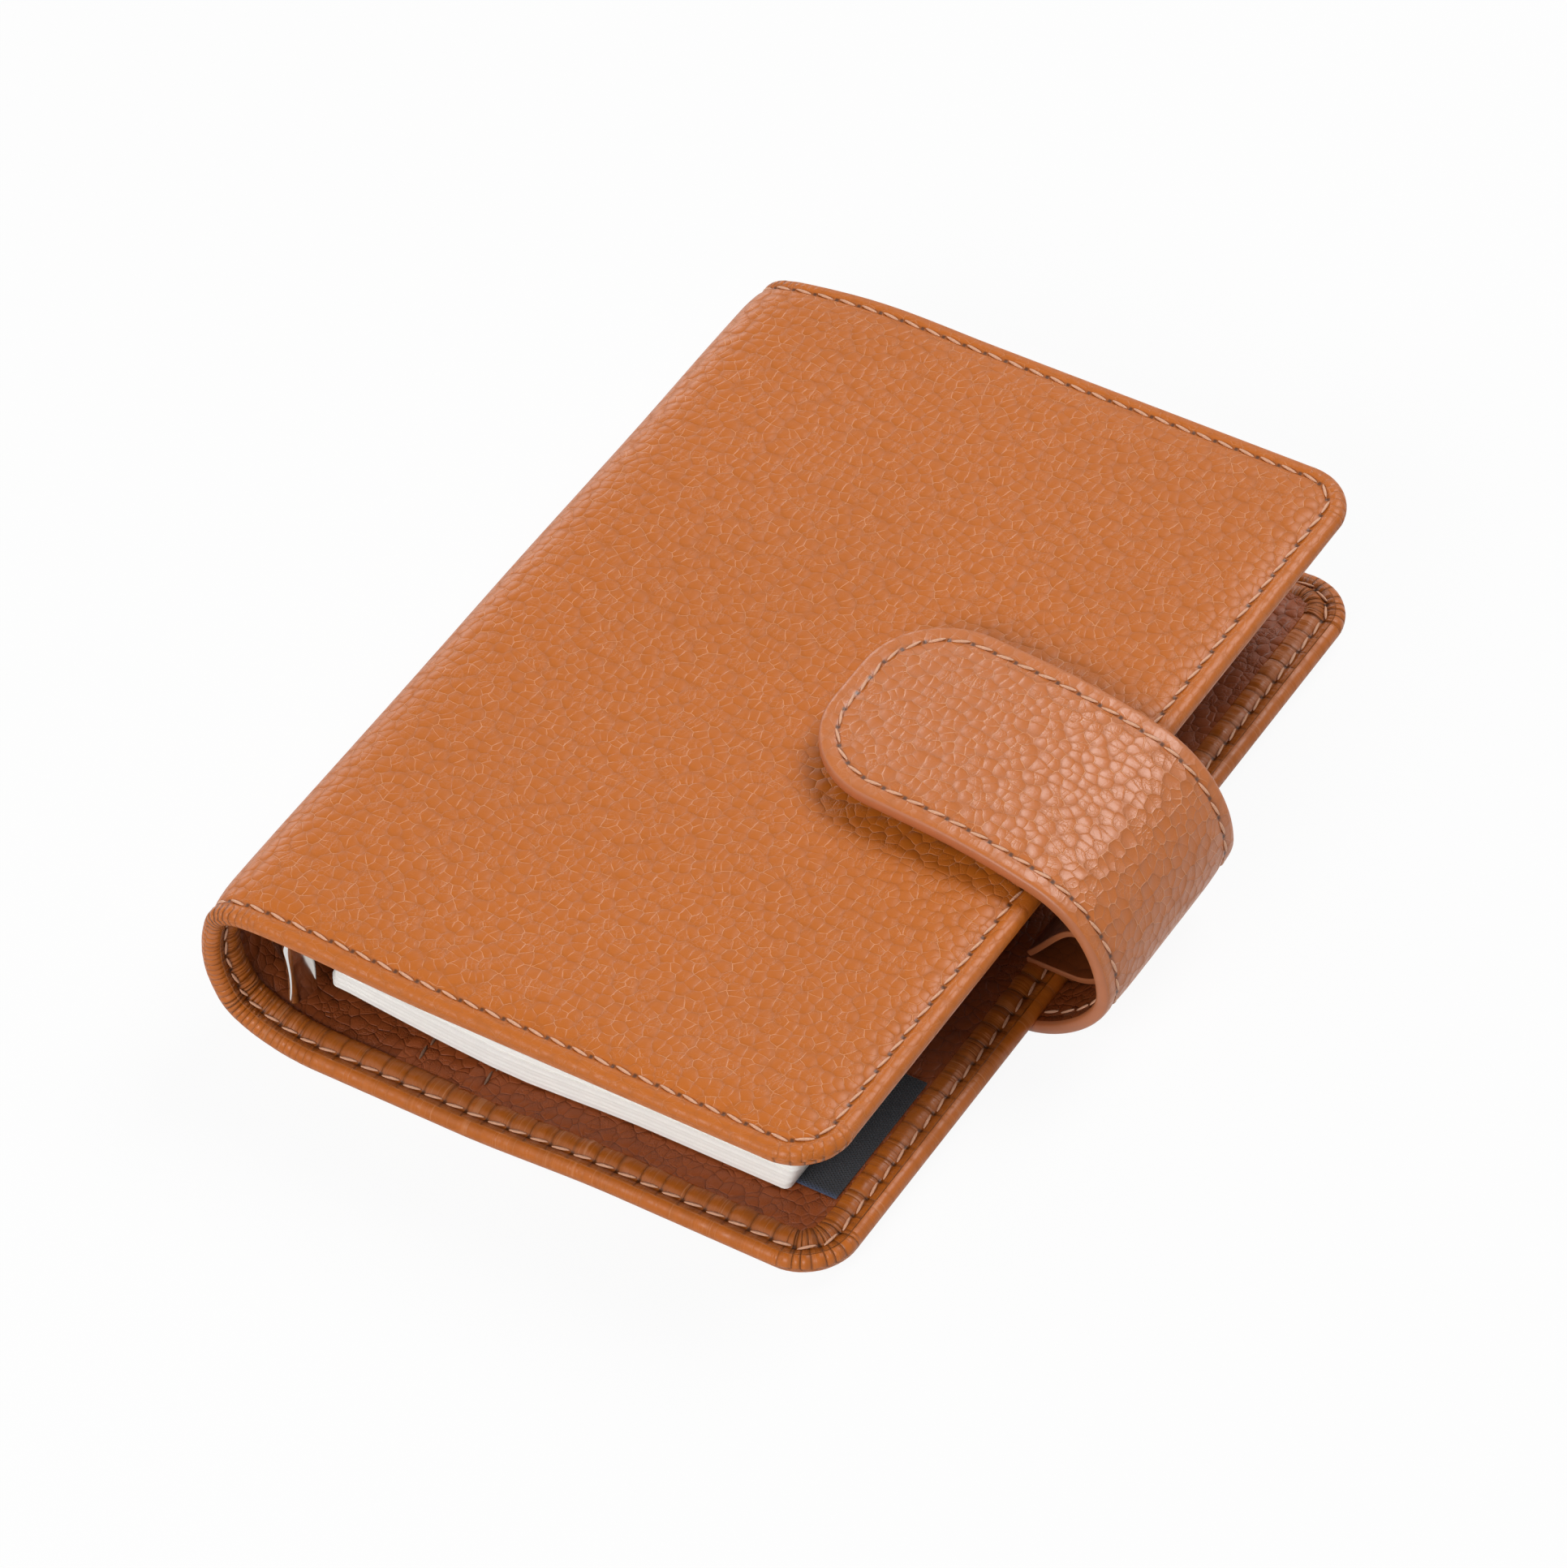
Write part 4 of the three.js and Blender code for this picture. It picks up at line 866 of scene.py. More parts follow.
class PLANNER_OT_cover(bpy.types.Operator):
    """Make the padded leather cover, its turned edge, its seams and the boards inside"""

    bl_idname = "planner.cover"
    bl_label = "Leather Cover"

    def execute(self, context):
        halves = (
            ("back_cover_skin", SPINE_MIDDLE, from_back, 0.0,
             ["back_cover_leather"], ("back_cover", "spine"), BACK_BEND),
            ("front_cover_skin", COVER.length - SPINE_MIDDLE, from_front, 0.31,
             ["front_cover_leather", "spine_leather"], ("spine", "front_cover"), FRONT_BEND),
        )
        for name, length, distance_of, seed, nodes, bodies, bend in halves:
            skin, thread = cover_half(name, length, distance_of, seed)
            dressed(skin, "cover")
            dressed(thread, "thread")
            mounted(skin, nodes, bodies, bend)
            mounted(thread, None, bodies, bend)
        boards = (
            ("back_cover_board", 1.5 * MM, BACK_CREASE - 0.75 * MM, from_back, 5 * MM, "back_cover"),
            ("spine_board", BACK_CREASE + 0.15 * MM, FRONT_CREASE - 0.75 * MM, from_back, 0, "spine"),
            ("front_cover_board", 1.5 * MM, COVER.length - FRONT_CREASE - 0.15 * MM, from_front, 5 * MM, "front_cover"),
        )
        for node, start, end, distance_of, corner, body in boards:
            name = node.replace("cover_", "") + "_sheet"
            board = inner_sheet(name, start, end, 1.5 * MM, 0.9 * MM, 0.45 * MM, corner)
            laid(board, distance_of, "board", [node], body)
        return {"FINISHED"}


# Lining and pockets


def inner_sheet(name, start, end, inset, depth, thickness, corner, folded=0.0):
    """A sheet inside the hem between two distances from a fore-edge, in the flat. Its end may be folded over."""
    low, high = inset, COVER_HEIGHT - inset
    piece = grid(name, max(2, int((end - start) / (1.2 * MM))), 40, (end - start, high - low),
                 ((start + end) / 2, (low + high) / 2, depth))
    if corner:
        co = coordinates(piece)
        x, y = co[:, 0] - start, co[:, 1]
        for edge, way in ((low, 1), (high, -1)):
            dx, dy = corner - x, corner - (y - edge) * way
            reach = np.hypot(dx, dy)
            near = (dx > 0) & (dy > 0)
            shrink = np.where(near & (reach > corner), corner / np.maximum(reach, 1e-9), 1.0)
            co[:, 0] = np.where(near, start + corner - dx * shrink, co[:, 0])
            co[:, 1] = np.where(near, edge + way * (corner - dy * shrink), co[:, 1])
        moved(piece, co)
    if folded:
        cut_across(piece, 0, (end - folded, end - folded + 0.25 * MM, end - 0.3 * MM))
        co = coordinates(piece)
        co[:, 2] += 0.2 * MM * np.clip((co[:, 0] - end + folded) / (0.25 * MM), 0, 1)
        moved(piece, co)
    applied(piece, "SOLIDIFY", thickness=thickness, offset=1.0)
    return piece


def laid(piece, distance_of, finish, nodes, body, bend=None):
    """Carries a flat sheet on to the cover's section and finishes it."""
    along_path(piece, COVER, distance_of)
    rounded_off(piece, 40)
    dressed(piece, finish)
    mounted(piece, nodes, body, bend)


class PLANNER_OT_linings(bpy.types.Operator):
    """Make the lining of the covers and spine, the pockets and their seams"""

    bl_idname = "planner.linings"
    bl_label = "Lining and Pockets"

    def execute(self, context):
        hem, under = sizes().hem_width, 2.4 * MM
        linings = (
            ("back_lining_sheet", SPINE_MIDDLE, from_back, ["back_cover_lining"], ("back_cover", "spine"), BACK_BEND),
            ("front_lining_sheet", COVER.length - SPINE_MIDDLE, from_front, ["front_cover_lining", "spine_lining"],
             ("spine", "front_cover"), FRONT_BEND),
        )
        for name, end, distance_of, nodes, bodies, bend in linings:
            sheet = inner_sheet(name, under, end, under, 1.52 * MM, 0.55 * MM, 4 * MM)
            laid(sheet, distance_of, "lining", nodes, bodies, bend)
        pockets = (
            ("back_wide_pocket", "back_pocket_wide", from_back, 23, 2.08, "back_cover"),
            ("back_narrow_pocket", "back_pocket_narrow", from_back, 32, 2.56, "back_cover"),
            ("front_wide_pocket", "front_pocket", from_front, 30, 2.08, "front_cover"),
            ("front_card_sleeve", "front_card_pocket", from_front, 52, 2.56, "front_cover"),
        )
        for name, node, distance_of, mouth, top, body in pockets:
            reach = COVER_WIDTH - mouth * MM
            sheet = inner_sheet(name, hem - 0.6 * MM, reach, hem - 0.6 * MM, top * MM, 0.42 * MM, 1.6 * MM, 2 * MM)
            laid(sheet, distance_of, "pocket", [node], body)
            line = np.array([[reach - 2.2 * MM, hem + 1 * MM], [reach - 2.2 * MM, COVER_HEIGHT - hem - 1 * MM]])
            places = [(p, (top + 0.5) * MM, -1) for p in evenly(line, sizes().stitch_pitch * 0.85)]
            thread = seam(name + "_seam", places, COVER, distance_of)
            dressed(thread, "pocket_thread")
            mounted(thread, None, body)
        return {"FINISHED"}


class PLANNER_OT_label(bpy.types.Operator):
    """Make the folded tape label, left bare"""

    bl_idname = "planner.label"
    bl_label = "Tape Label"

    def execute(self, context):
        low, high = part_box("woven_label")
        label = grid("tape_label", 14, 60, (high.x - low.x + 0.6 * MM, high.y - low.y),
                     ((low.x + high.x) / 2 + 0.3 * MM, (low.y + high.y) / 2, low.z))
        co = coordinates(label)
        across = (co[:, 1] - low.y) / (high.y - low.y)
        co[:, 2] += 0.12 * MM * np.sin(across * math.pi) ** 2 * ((high.x - co[:, 0]) / (high.x - low.x))
        moved(label, co)
        applied(label, "SOLIDIFY", thickness=0.28 * MM, offset=1.0)
        applied(label, "BEVEL", width=0.06 * MM, segments=1)
        rounded_off(label, 40)
        vertex_value(label, "tape_end", np.clip(1 - (coordinates(label)[:, 1] - low.y) / (0.7 * MM), 0, 1))
        dressed(label, "tape")
        mounted(label, ["woven_label"], "back_cover")
        return {"FINISHED"}


# Strap and pen loop

STRAP_MIDDLE, STRAP_HALF = 60.7, 14.75
STRAP_RADIUS, STRAP_THICKNESS = 11.5, 1.95
STRAP_LEAN = math.tan(math.radians(3.6))
STRAP_FOLD_X = 91.3
STRAP_BEND = (here(STRAP_FOLD_X, 60, 15.4), here(STRAP_FOLD_X, 60, 22.8))


def from_strap_tip(x):
    return STRAP.length - x


def leaned(piece):
    """Leans the flap past its fold towards the head."""
    co = coordinates(piece)
    ahead = np.maximum(STRAP_FOLD_X * MM + SHIFT_X - co[:, 0], 0)
    co[:, 1] += np.where(co[:, 2] > 16 * MM, STRAP_LEAN * ahead, 0)
    moved(piece, co)


class PLANNER_OT_strap(bpy.types.Operator):
    """Make the strap with its painted edge and its seam"""

    bl_idname = "planner.strap"
    bl_label = "Snap Strap"

    def section(self):
        """The strap's rim as (inset, depth) in metres, from the outside over the painted edge to the inside."""
        g, r, t = sizes().stitch_inset / MM, STRAP_RADIUS, STRAP_THICKNESS
        out_side = [(r, 0), (8, 0), (5.5, 0.03), (4, 0.09), (3.2, 0.16), (g + 0.3, 0.26), (g, 0.4), (g - 0.3, 0.26),
                    (1.4, 0.14), (0.7, 0.18)]
        edge = [(0.3, 0.26), (0.06, 0.5), (0, t * 0.55), (0.05, t - 0.35), (0.25, t - 0.1)]
        in_side = [(0.6, t - 0.03), (1.4, t), (g, t - 0.15), (3.2, t), (6, t), (r, t)]
        return in_mm(out_side + edge + in_side)

    def close_end(self):
        bpy.ops.mesh.select_all(action="DESELECT")
        bpy.ops.mesh.select_non_manifold()
        bpy.ops.mesh.edge_face_add()

    def execute(self, context):
        groove, thickness = sizes().stitch_inset, STRAP_THICKNESS * MM
        pattern = Pattern(STRAP.length, (STRAP_MIDDLE - STRAP_HALF) * MM, (STRAP_MIDDLE + STRAP_HALF) * MM,
                          STRAP_RADIUS * MM)
        across, up = int((pattern.length - pattern.radius) / (0.9 * MM)), 8
        band = rim("strap_rim", pattern, self.section(), across, up)
        outer = middle_panel("strap_outer", pattern, 0.0, across, up)
        inner = middle_panel("strap_inner", pattern, thickness, across, up)
        piece = joined("strap_skin", band, outer, inner)
        closed_up(piece, 2e-5)
        edited(piece, self.close_end, lambda: bpy.ops.mesh.normals_make_consistent(inside=False))
        flat = coordinates(piece)
        inset, along, way, _ = pattern.measure(flat[:, 0], flat[:, 1], groove)
        gap = stitch_gap(pattern, groove)
        none = np.zeros(len(flat))
        seam_values(piece, inset, along / gap, none, none)
        inside = np.where(flat[:, 2] > thickness / 2, 1.0, 0.0)
        flat_map(piece, flat[:, :2] + way * (inside * (thickness + 2 * inset))[:, None] + 0.57)
        along_path(piece, STRAP, from_strap_tip)
        leaned(piece)
        smoothed(piece, 50)
        dressed(piece, "strap edge lining")
        for polygon in piece.data.polygons:
            corners = list(polygon.vertices)
            on_edge, on_inside = inset[corners].max() < 0.65 * MM, flat[corners, 2].min() > thickness / 2
            polygon.material_index = 1 if on_edge else (2 if on_inside else 0)
        line = evenly(pattern.outline(groove), gap)
        places = [(p, 0.23 * MM, 1) for p in line] + [(p, thickness - 0.06 * MM, -1) for p in line]
        thread = seam("strap_seam", places, STRAP, from_strap_tip)
        leaned(thread)
        dressed(thread, "thread")
        nodes = ["strap_anchor", "strap_flap", "strap_anchor_lining", "strap_flap_lining"]
        mounted(piece, nodes, ("back_cover", "strap"), STRAP_BEND)
        mounted(thread, None, ("back_cover", "strap"), STRAP_BEND)
        return {"FINISHED"}


def loop_line():
    """The pen loop's outer line in (x, z) millimetres, from its seam round the nose and back over the top."""
    floor = LIFT + 2.8 + 0.1
    pinch, crest, bulge = np.array([79, floor + 1.6]), np.array([86.5, floor + 8]), np.array([92.9, floor + 5.2])
    slope = (crest - bulge) / np.linalg.norm(crest - bulge)
    return SectionPath([
        [(79, floor), (85, floor)],
        [(85, floor), (89.7, floor), bulge, crest],
        [crest, crest + slope * 2.8, pinch + 2.8, pinch],
    ], -1)


class PLANNER_OT_pen_loop(bpy.types.Operator):
    """Make the pen loop that reaches past the fore-edge"""

    bl_idname = "planner.pen_loop"
    bl_label = "Pen Loop"

    def execute(self, context):
        low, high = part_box("pen_loop")
        line = loop_line()
        piece = grid("pen_loop_band", 60, 20, (line.length - 0.2 * MM, high.y - low.y),
                     (line.length / 2, (high.y + low.y) / 2 - SHIFT_Y, 0))
        applied(piece, "SOLIDIFY", thickness=0.78 * MM, offset=1.0)
        applied(piece, "BEVEL", width=0.18 * MM, segments=3)
        ys = coordinates(piece)[:, 1]
        along_path(piece, line, from_back)
        rounded_off(piece, 50)
        dressed(piece, "loop edge")
        for polygon in piece.data.polygons:
            y = ys[list(polygon.vertices)]
            on_edge = y.max() < ys.min() + 0.2 * MM or y.min() > ys.max() - 0.2 * MM
            polygon.material_index = 1 if on_edge else 0
        mounted(piece, ["pen_loop"], "back_cover")
        return {"FINISHED"}


# Rings and their mechanism

RING_X, RING_Z = 11.0, 11.75
RING_RADIUS = 6.3
RING_YS = [23.3 + 19 * i for i in range(5)]
RIVET_YS = {"tail": 32.8, "head": 89.8}
FOOT_ANGLE = math.radians(147)
RAIL_TOP = 3.9
PLATE = {"tail": 13.3, "head": 109.3, "half": 5.2, "shoulder": 4.4, "crown": 5.6, "base": 3.4, "wall": 0.5}


def ring_line(side):
    """The middle of one half ring's wire in (x, z) millimetres."""
    angles = np.linspace(0.15 / RING_RADIUS, FOOT_ANGLE, 37)
    points = [(RING_X + RING_RADIUS * math.cos(a), RING_Z + side * RING_RADIUS * math.sin(a)) for a in angles]
    x, z = points[-1]
    return points + [(x + (RAIL_TOP + 0.05 - x) * k / 4, z) for k in range(1, 5)]


def wire_piece(name, points, y, diameter):
    """Round wire along a line: a drawn curve with a round bevel, made a mesh."""
    clear_selection()
    data = bpy.data.curves.new(name, "CURVE")
    data.dimensions = "3D"
    spline = data.splines.new("POLY")
    spline.points.add(len(points) - 1)
    for point, (x, z) in zip(spline.points, points):
        point.co = (*here(x, y, z), 1)
    data.bevel_depth = diameter / 2
    data.bevel_resolution = 5
    data.use_fill_caps = True
    piece = bpy.data.objects.new(name, data)
    bpy.context.scene.collection.objects.link(piece)
    make_active(piece)
    bpy.ops.object.convert(target="MESH")
    piece = named(name)
    smoothed(piece, 50)
    return piece


class PLANNER_OT_rings(bpy.types.Operator):
    """Make the split rings and dress their rails"""

    bl_idname = "planner.rings"
    bl_label = "Split Rings"

    def execute(self, context):
        for half, side in (("upper", 1), ("lower", -1)):
            for number, y in enumerate(RING_YS, 1):
                wire = wire_piece(f"ring_{half}_{number}", ring_line(side), y, sizes().wire)
                dressed(wire, "wire")
                mounted(wire, [f"half_ring_{half}_{number}"], f"ring_{half}")
            dressed(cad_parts[f"rail_{half}"], "steel")
        return {"FINISHED"}


def housing_section():
    """The plate's section as (z from its middle, x) in millimetres, outside and then back along the inside."""
    def arch(thin):
        half, shares = PLATE["half"] - thin, np.linspace(0, 1, 17)
        crown = [(half * (2 * t - 1), PLATE["shoulder"] - thin + (PLATE["crown"] - PLATE["shoulder"]) * 4 * t * (1 - t))
                 for t in shares]
        return [(-half, PLATE["base"]), *crown, (half, PLATE["base"])]
    return arch(0) + arch(PLATE["wall"])[::-1]


def block(name, place, size):
    """A rounded block that cuts a hole through the plate."""
    clear_selection()
    bpy.ops.mesh.primitive_cube_add(size=1, location=place, scale=[v * MM for v in size])
    piece = named(name)
    settled(piece)
    applied(piece, "BEVEL", width=0.5 * MM, segments=3, limit_method="ANGLE")
    return piece


def bar(name, place, diameter, length, turn=0.0):
    """A round bar that cuts a hole, upright or turned about Y."""
    clear_selection()
    bpy.ops.mesh.primitive_cylinder_add(vertices=24, radius=diameter / 2 * MM, depth=length * MM, location=place,
                                        rotation=(0, turn, 0))
    piece = named(name)
    settled(piece)
    return piece


# The levers: each side line's straight part and curves in (x, y) millimetres, at the tail end
LEVER_ARM = [(3.15, y) for y in (19.2, 17, 14.5, 12.9)]
LEVER_CURVES = (
    ((3.15, 12.9), (3.15, 10.0), (3.8, 8.0), (6.6, 7.8)),
    ((6.6, 7.8), (9.6, 7.6), (11.4, 7.8), (11.3, 6.2)),
    ((11.3, 6.2), (11.2, 5.1), (10.9, 4.1), (10.5, 3.1)),
)


def lever_half_width(x, y):
    """Half of a lever's width in millimetres at a point of its line, wide at the thumb pad."""
    if y > 14.4:
        return 1.1 + 1.5 * (19.2 - y) / 4.8
    if x < 5:
        return 2.6
    return 2.6 + 2.65 * min(1.0, (x - 5) / 4.5) ** 0.8 if y > 7.4 else 5.25


class PLANNER_OT_mechanism(bpy.types.Operator):
    """Make the spine plate, its rivets and the two levers"""

    bl_idname = "planner.mechanism"
    bl_label = "Ring Mechanism"

    def plate(self):
        section = [here(x, PLATE["tail"], RING_Z + z) for z, x in housing_section()]
        piece = drawn_line("spine_plate", section + section[:1])
        bpy.ops.mesh.remove_doubles(threshold=1e-6)
        bpy.ops.mesh.edge_face_add()
        pulled((0, (PLATE["head"] - PLATE["tail"]) * MM, 0))
        rounded_off(piece, 35)
        foot_z = RING_RADIUS * math.sin(FOOT_ANGLE) + 0.1
        feet = [here(5.0, y, RING_Z + side * foot_z) for y in RING_YS for side in (-1, 1)]
        tools = [block("slot", foot, (2.6, 2.6, 2.5)) for foot in feet]
        tools += [bar("rivet_hole", here(5.5, y, RING_Z), 2.8, 3, math.pi / 2) for y in RIVET_YS.values()]
        for end in ("tail", "head"):
            for side in (-1, 1):
                place = here(5.0, PLATE[end], RING_Z + side * PLATE["half"])
                corner = block("plate_corner", place, (6, 3.4, 3.4))
                turn = Matrix.Translation(place)
                corner.data.transform(turn @ Matrix.Rotation(math.pi / 4, 4, "X") @ turn.inverted())
                tools.append(corner)
        carved(piece, tools)
        applied(piece, "BEVEL", width=0.12 * MM, segments=2, limit_method="ANGLE", angle_limit=math.radians(40))
        smoothed(piece, 35)
        return piece

    def rivet(self, name, y):
        """A domed rivet, its half profile given as (radius, height) in millimetres."""
        profile = [(0, 0), (1.9, 0), (1.9, 0.28), (1.0, 0.42), (1.0, 4.55), (1.6, 4.58), (1.56, 4.74), (1.3, 4.8),
                   (0.7, 4.84), (0, 4.85)]
        foot = 1.05
        points = [here(foot + height, y, RING_Z + radius) for radius, height in profile]
        return spun(name, points, here(foot, y, RING_Z), (1, 0, 0), 32)

    def lever(self, name, mirrored):
        """A pressed lever: its side line pulled out to its width, thickened and rounded."""
        line = LEVER_ARM + [tuple(p) for curve in LEVER_CURVES for p in bezier(curve, np.linspace(0, 1, 11)[1:])]
        widths = [lever_half_width(x, y) for x, y in line]
        widths[-3:] = [5.1, 4.8, 4.2]
        middle = 61.3
        side = [here(x, 2 * middle - y if mirrored else y, RING_Z - 0.5) for x, y in line]
        piece = drawn_line(name, side)
        pulled((0, 0, 0.1 * MM), 10)
        bpy.ops.object.mode_set(mode="OBJECT")
        co = coordinates(piece)
        for point in co:
            row = np.argmin([np.hypot(point[0] - p.x, point[1] - p.y) for p in side])
            share = (point[2] - (RING_Z - 0.5) * MM) / MM * 2 - 1
            point[2] = (RING_Z + share * widths[row]) * MM
            point[0] -= 0.45 * MM * share ** 2 * min(1, max(0, (8 - line[row][1]) / 3))
        moved(piece, co)
        edited(piece, lambda: bpy.ops.mesh.normals_make_consistent(inside=False))
        applied(piece, "SOLIDIFY", thickness=0.75 * MM, offset=0.0)
        applied(piece, "BEVEL", width=0.16 * MM, segments=2, limit_method="ANGLE", angle_limit=math.radians(50))
        applied(piece, "SUBSURF", levels=1, render_levels=1)
        rounded_off(piece, 60)
        return piece

    def execute(self, context):
        parts = [(self.plate(), "ring_housing", "spine")]
        for end, y in RIVET_YS.items():
            parts.append((self.rivet(f"plate_rivet_{end}", y), f"rivet_{end}", "spine"))
            parts.append((self.lever(f"finger_lever_{end}", end == "head"), f"lever_{end}", f"lever_{end}"))
        for piece, node, body in parts:
            dressed(piece, "steel")
            mounted(piece, [node], body)
        return {"FINISHED"}


class PLANNER_OT_snap(bpy.types.Operator):
    """Make the stud and socket of the strap's snap"""

    bl_idname = "planner.snap"
    bl_label = "Snap"

    def execute(self, context):
        low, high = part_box("snap_socket")
        middle = (low + high) / 2
        top, under = high.z / MM, low.z / MM
        socket = [(0, top), (4.2, top), (4.5, top - 0.1), (4.6, top - 0.35), (4.6, under + 0.35), (4.45, under + 0.08),
                  (4.1, under), (3.4, under + 0.02), (3.1, under + 0.18), (2.7, under + 0.18), (2.45, under),
                  (2.25, under + 0.1), (2.25, top - 0.4), (0, top - 0.4)]
        low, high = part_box("snap_stud")
        base, tip = low.z / MM, high.z / MM
        stud = [(0, base), (4.2, base), (4.2, base + 0.06), (3.9, base + 0.24), (2.4, base + 0.34), (1.7, base + 0.5),
                (1.6, base + 0.8), (1.88, tip - 0.55), (1.85, tip - 0.3), (1.6, tip - 0.1), (1.1, tip), (0, tip)]
        for name, profile, node, body in (
            ("snap_ring_socket", socket, "snap_socket", "strap"), ("snap_button_stud", stud, "snap_stud", "front_cover")
        ):
            points = [(middle.x + radius * MM, middle.y, height * MM) for radius, height in profile]
            piece = spun(name, points, (middle.x, middle.y, 0), (0, 0, 1), 40)
            dressed(piece, "snap")
            mounted(piece, [node], body)
        for node in ("snap_cap", "snap_post"):
            dressed(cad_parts[node], "snap")
        return {"FINISHED"}


# Pages

STAGGER = [5, 5.5, 5.9, 6.2, 6.3]
PAPER_DEPTH = 3.35
PAPER_SIZE = (62 * MM, 105 * MM)
PAPER_TAIL = 8.8
HOLE_INSET = 4.2
PACK_PITCH = 1.15


def past_rings(y):
    """How far, from 0 to 1, a place lies past the ends of the spine plate, for arrays of millimetres."""
    return np.clip((PLATE["tail"] - y) / 4.8, 0, 1) ** 1.4 + np.clip((y - PLATE["head"]) / 4.8, 0, 1) ** 1.4


def page_floor(x, y):
    """Height under the page block, in millimetres: on the cover, up at the rings and sagging past the end rings."""
    t = np.clip((x - RISE_FROM) / (RISE_TO - RISE_FROM), 0, 1)
    rise = (RING_Z - 4.95 - PAPER_DEPTH) * (1 - np.clip((x - 14) / 24, 0, 1)) ** 1.4
    return PAPER_DEPTH + LIFT * t * t * (3 - 2 * t) + rise * (1 - 0.33 * past_rings(y))


class PLANNER_OT_pages(bpy.types.Operator):
    """Make the packs of punched sheets and the cover sheet"""

    bl_idname = "planner.pages"
    bl_label = "Pages"

    def flat_sheet(self, name, thickness):
        """A punched sheet in the flat, its binding edge at x 0: a rounded plane cut where it bends and punched."""
        wide, tall = PAPER_SIZE
        piece = grid(name, 1, 1, PAPER_SIZE, (wide / 2, tall / 2, 0))
        edited(piece, lambda: bpy.ops.mesh.bevel(affect="VERTICES", offset=0.9 * MM, segments=5))
        cut_across(piece, 0, [x * MM for x in [*np.arange(1.5, 19, 1.25), 22, 27, 32, 37, 42, 48]])
        cut_across(piece, 1, [y * MM for y in (0.9, 1.8, 2.7, 3.6, 4.5, 5.4, 99.6, 100.5, 101.4, 102.3, 103.2, 104.1)])
        applied(piece, "SOLIDIFY", thickness=thickness, offset=1.0)
        carved(piece, [bar("punch", (HOLE_INSET * MM, (y - PAPER_TAIL) * MM, 0), 5.5, 20) for y in RING_YS])
        return piece

    def stack(self, name, number, count, low, pitch, thickness):
        """Sheets, each a little out of line, laid from a height above the block's floor."""
        sheet = self.flat_sheet("sheet", thickness * MM)
        matrices = []
        for i in range(count):
            seed = number * 17 + i
            x = RING_X + STAGGER[number] - HOLE_INSET + math.sin(seed * 12.9) * 0.06 + math.sin(number * 5.1) * 0.1
            y = PAPER_TAIL + math.sin(seed * 7.3) * 0.05 + math.sin(number * 2.9) * 0.16
            matrices.append(Matrix.Translation((x * MM, y * MM, (low + i * pitch) * MM)))
        piece = strewn(name, sheet, matrices)
        discarded(sheet)
        co = coordinates(piece)
        x, y = co[:, 0] / MM, co[:, 1] / MM
        co[:, 2] *= 1 + 0.08 * past_rings(y) * np.clip((52 - x) / 40, 0, 1)
        co += np.stack([np.full(len(co), SHIFT_X), np.full(len(co), SHIFT_Y), page_floor(x, y) * MM], -1)
        moved(piece, co)
        rounded_off(piece, 30)
        return piece

    def execute(self, context):
        count = sizes().sheets
        pitch = 1.13 / count
        for number in range(4):
            stack = self.stack(f"page_stack_{number + 1}", number, count, number * PACK_PITCH, pitch, pitch * 0.985)
            dressed(stack, "paper")
            mounted(stack, [f"page_pack_{number + 1}"], "pages")
        card = self.stack("title_card", 4, 1, 4 * PACK_PITCH, 0.3, 0.28)
        dressed(card, "card")
        mounted(card, ["cover_sheet"], "pages")
        return {"FINISHED"}


# Stage: the photograph's camera, turned and aimed in degrees and millimetres, and its lamps

CAMERA = {"azimuth": 34.196, "elevation": 45.705, "roll": -3.57, "focal": 9680.9, "frame": 1932, "distance": 936.14,
          "aim": (35.958, 68.561, -2.702)}
LAMPS = (
    ("window_light", (0.25, 0.72, 0.95), (0.8, 0.6), 10),
    ("fill_light", (-0.8, -0.3, 0.7), (0.6, 0.6), 1.4),
    ("side_light", (-1.0, 0.7, 0.22), (0.8, 0.4), 2.5),
    ("front_light", (0.0, -0.84, 0.6), (0.6, 0.4), 6.8),
)
LAMP_AIM = Vector((0, 0, 0.01))
FLOOR_GLOW = 0.93
SURROUND_LIGHT = 0.1


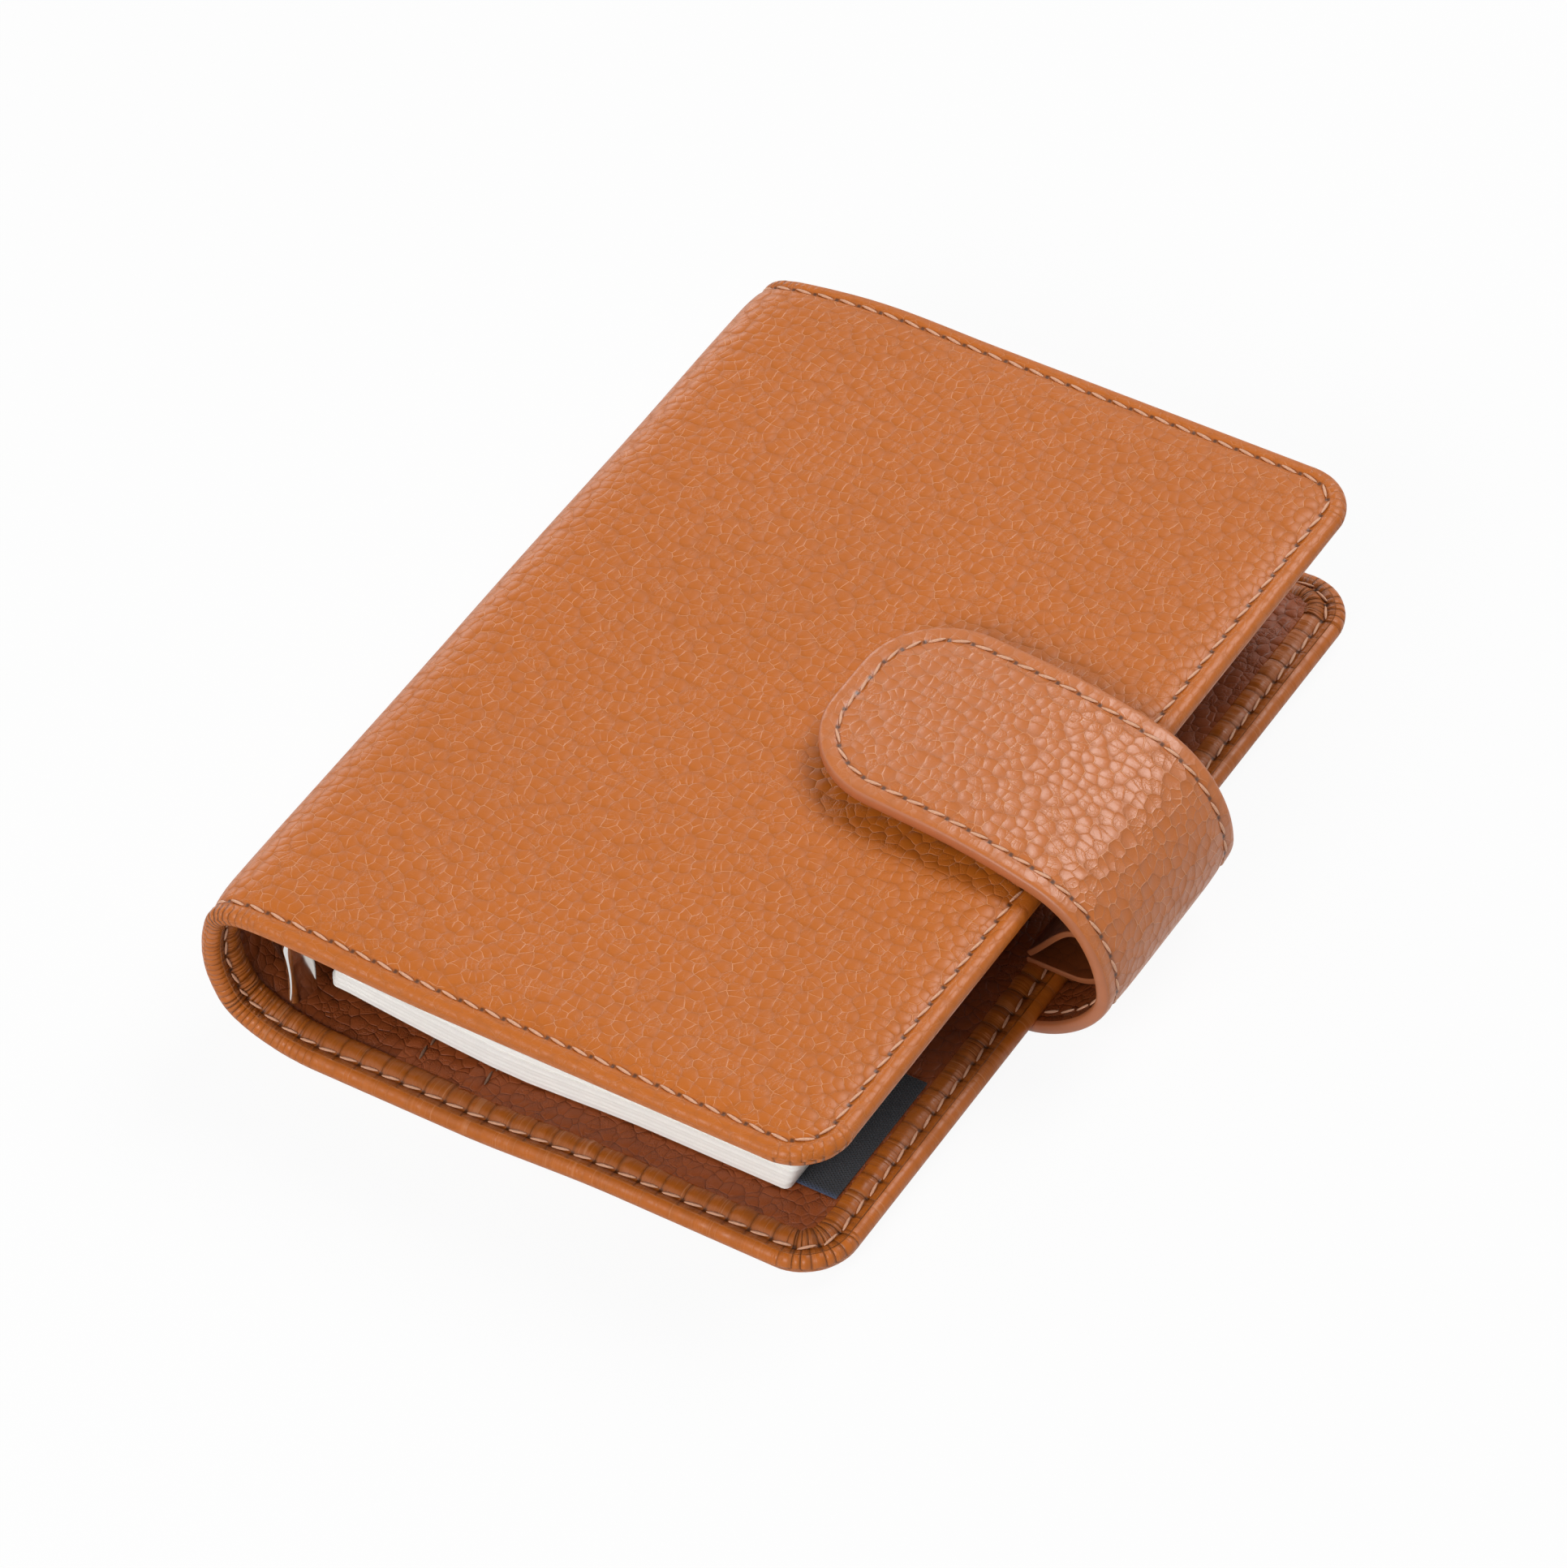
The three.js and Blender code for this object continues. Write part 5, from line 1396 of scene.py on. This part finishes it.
class PLANNER_OT_stage(bpy.types.Operator):
    """Make the floor, the lamps and the camera"""

    bl_idname = "planner.stage"
    bl_label = "Stage"

    def floor(self):
        """A pale floor that keeps the shadow and shows nearly white."""
        clear_selection()
        bpy.ops.mesh.primitive_plane_add(size=8, location=(0, 0, -0.2 * MM))
        piece = named("floor")
        settled(piece)
        nodes = new_material("pale_floor")
        nodes.inputs["Base Color"].default_value = (0.75, 0.75, 0.75, 1)
        nodes.inputs["Roughness"].default_value = 0.9
        glow = nodes.add("ShaderNodeEmission", {"Color": (1, 1, 1, 1), "Strength": 1.0})
        plain = nodes.tree.nodes["Principled BSDF"].outputs[0]
        mixed = nodes.add("ShaderNodeMixShader", {
            0: nodes.times(nodes.shown(), FLOOR_GLOW), 1: plain, 2: glow.outputs[0]})
        nodes.put(nodes.tree.nodes["Material Output"].inputs["Surface"], mixed.outputs[0])
        piece.data.materials.append(nodes.owner)

    def lamp(self, name, place, size, power):
        clear_selection()
        bpy.ops.object.light_add(type="AREA", location=place)
        lamp = bpy.context.object
        lamp.name = name
        lamp.data.shape = "RECTANGLE"
        lamp.data.size, lamp.data.size_y = size
        lamp.data.energy = power
        lamp.rotation_euler = (Vector(place) - LAMP_AIM).to_track_quat("Z", "Y").to_euler()

    def world(self):
        """A dim white surround that shows as plain white."""
        world = bpy.data.worlds.new("studio")
        bpy.context.scene.world = world
        nodes = Nodes(world)
        nodes.inputs["Color"].default_value = (1, 1, 1, 1)
        nodes.put(nodes.inputs["Strength"], nodes.ramp(nodes.shown(), 0.0, 1.0, SURROUND_LIGHT, 1.0))

    def camera(self):
        a, e, r = (math.radians(CAMERA[k]) for k in ("azimuth", "elevation", "roll"))
        back_way = Vector((math.sin(a) * math.cos(e), -math.cos(a) * math.cos(e), math.sin(e)))
        right = Vector((math.cos(a), math.sin(a), 0))
        up = back_way.cross(right)
        rolled, up = right * math.cos(r) + up * math.sin(r), up * math.cos(r) - right * math.sin(r)
        data = bpy.data.cameras.new("camera")
        camera = bpy.data.objects.new("camera", data)
        bpy.context.scene.collection.objects.link(camera)
        data.sensor_width = 36
        data.lens = CAMERA["focal"] / CAMERA["frame"] * data.sensor_width
        data.clip_start, data.clip_end = 0.05, 20
        turn = Matrix((rolled, up, back_way)).transposed().to_4x4()
        camera.matrix_world = Matrix.Translation(here(*CAMERA["aim"]) + back_way * CAMERA["distance"] * MM) @ turn
        bpy.context.scene.camera = camera

    def execute(self, context):
        self.floor()
        for lamp in LAMPS:
            self.lamp(*lamp)
        self.world()
        self.camera()
        bpy.context.scene.view_settings.view_transform = "Standard"
        return {"FINISHED"}


OPERATORS = (
    PLANNER_OT_stage,
    PLANNER_OT_cover,
    PLANNER_OT_linings,
    PLANNER_OT_label,
    PLANNER_OT_strap,
    PLANNER_OT_pen_loop,
    PLANNER_OT_rings,
    PLANNER_OT_mechanism,
    PLANNER_OT_snap,
    PLANNER_OT_pages,
)


class PLANNER_PT_panel(bpy.types.Panel):
    """The planner's pieces, sizes and colours"""

    bl_idname = "PLANNER_PT_panel"
    bl_label = "Ring Planner"
    bl_space_type = "VIEW_3D"
    bl_region_type = "UI"
    bl_category = "Planner"

    def draw(self, context):
        for operator in OPERATORS:
            self.layout.operator(operator.bl_idname)
        for group in (context.scene.planner_sizes, context.scene.planner_colours):
            for key in group.__annotations__:
                self.layout.prop(group, key)


CLASSES = (PlannerSizes, PlannerColours, *OPERATORS, PLANNER_PT_panel)


def register():
    for item in CLASSES:
        bpy.utils.register_class(item)
    bpy.types.Scene.planner_sizes = bpy.props.PointerProperty(type=PlannerSizes)
    bpy.types.Scene.planner_colours = bpy.props.PointerProperty(type=PlannerColours)


def unregister():
    del bpy.types.Scene.planner_sizes
    del bpy.types.Scene.planner_colours
    for item in reversed(CLASSES):
        bpy.utils.unregister_class(item)


def main():
    register()
    for operator in OPERATORS:
        group, name = operator.bl_idname.split(".")
        getattr(getattr(bpy.ops, group), name)()
    clear_selection()


if __name__ == "__main__":
    main()
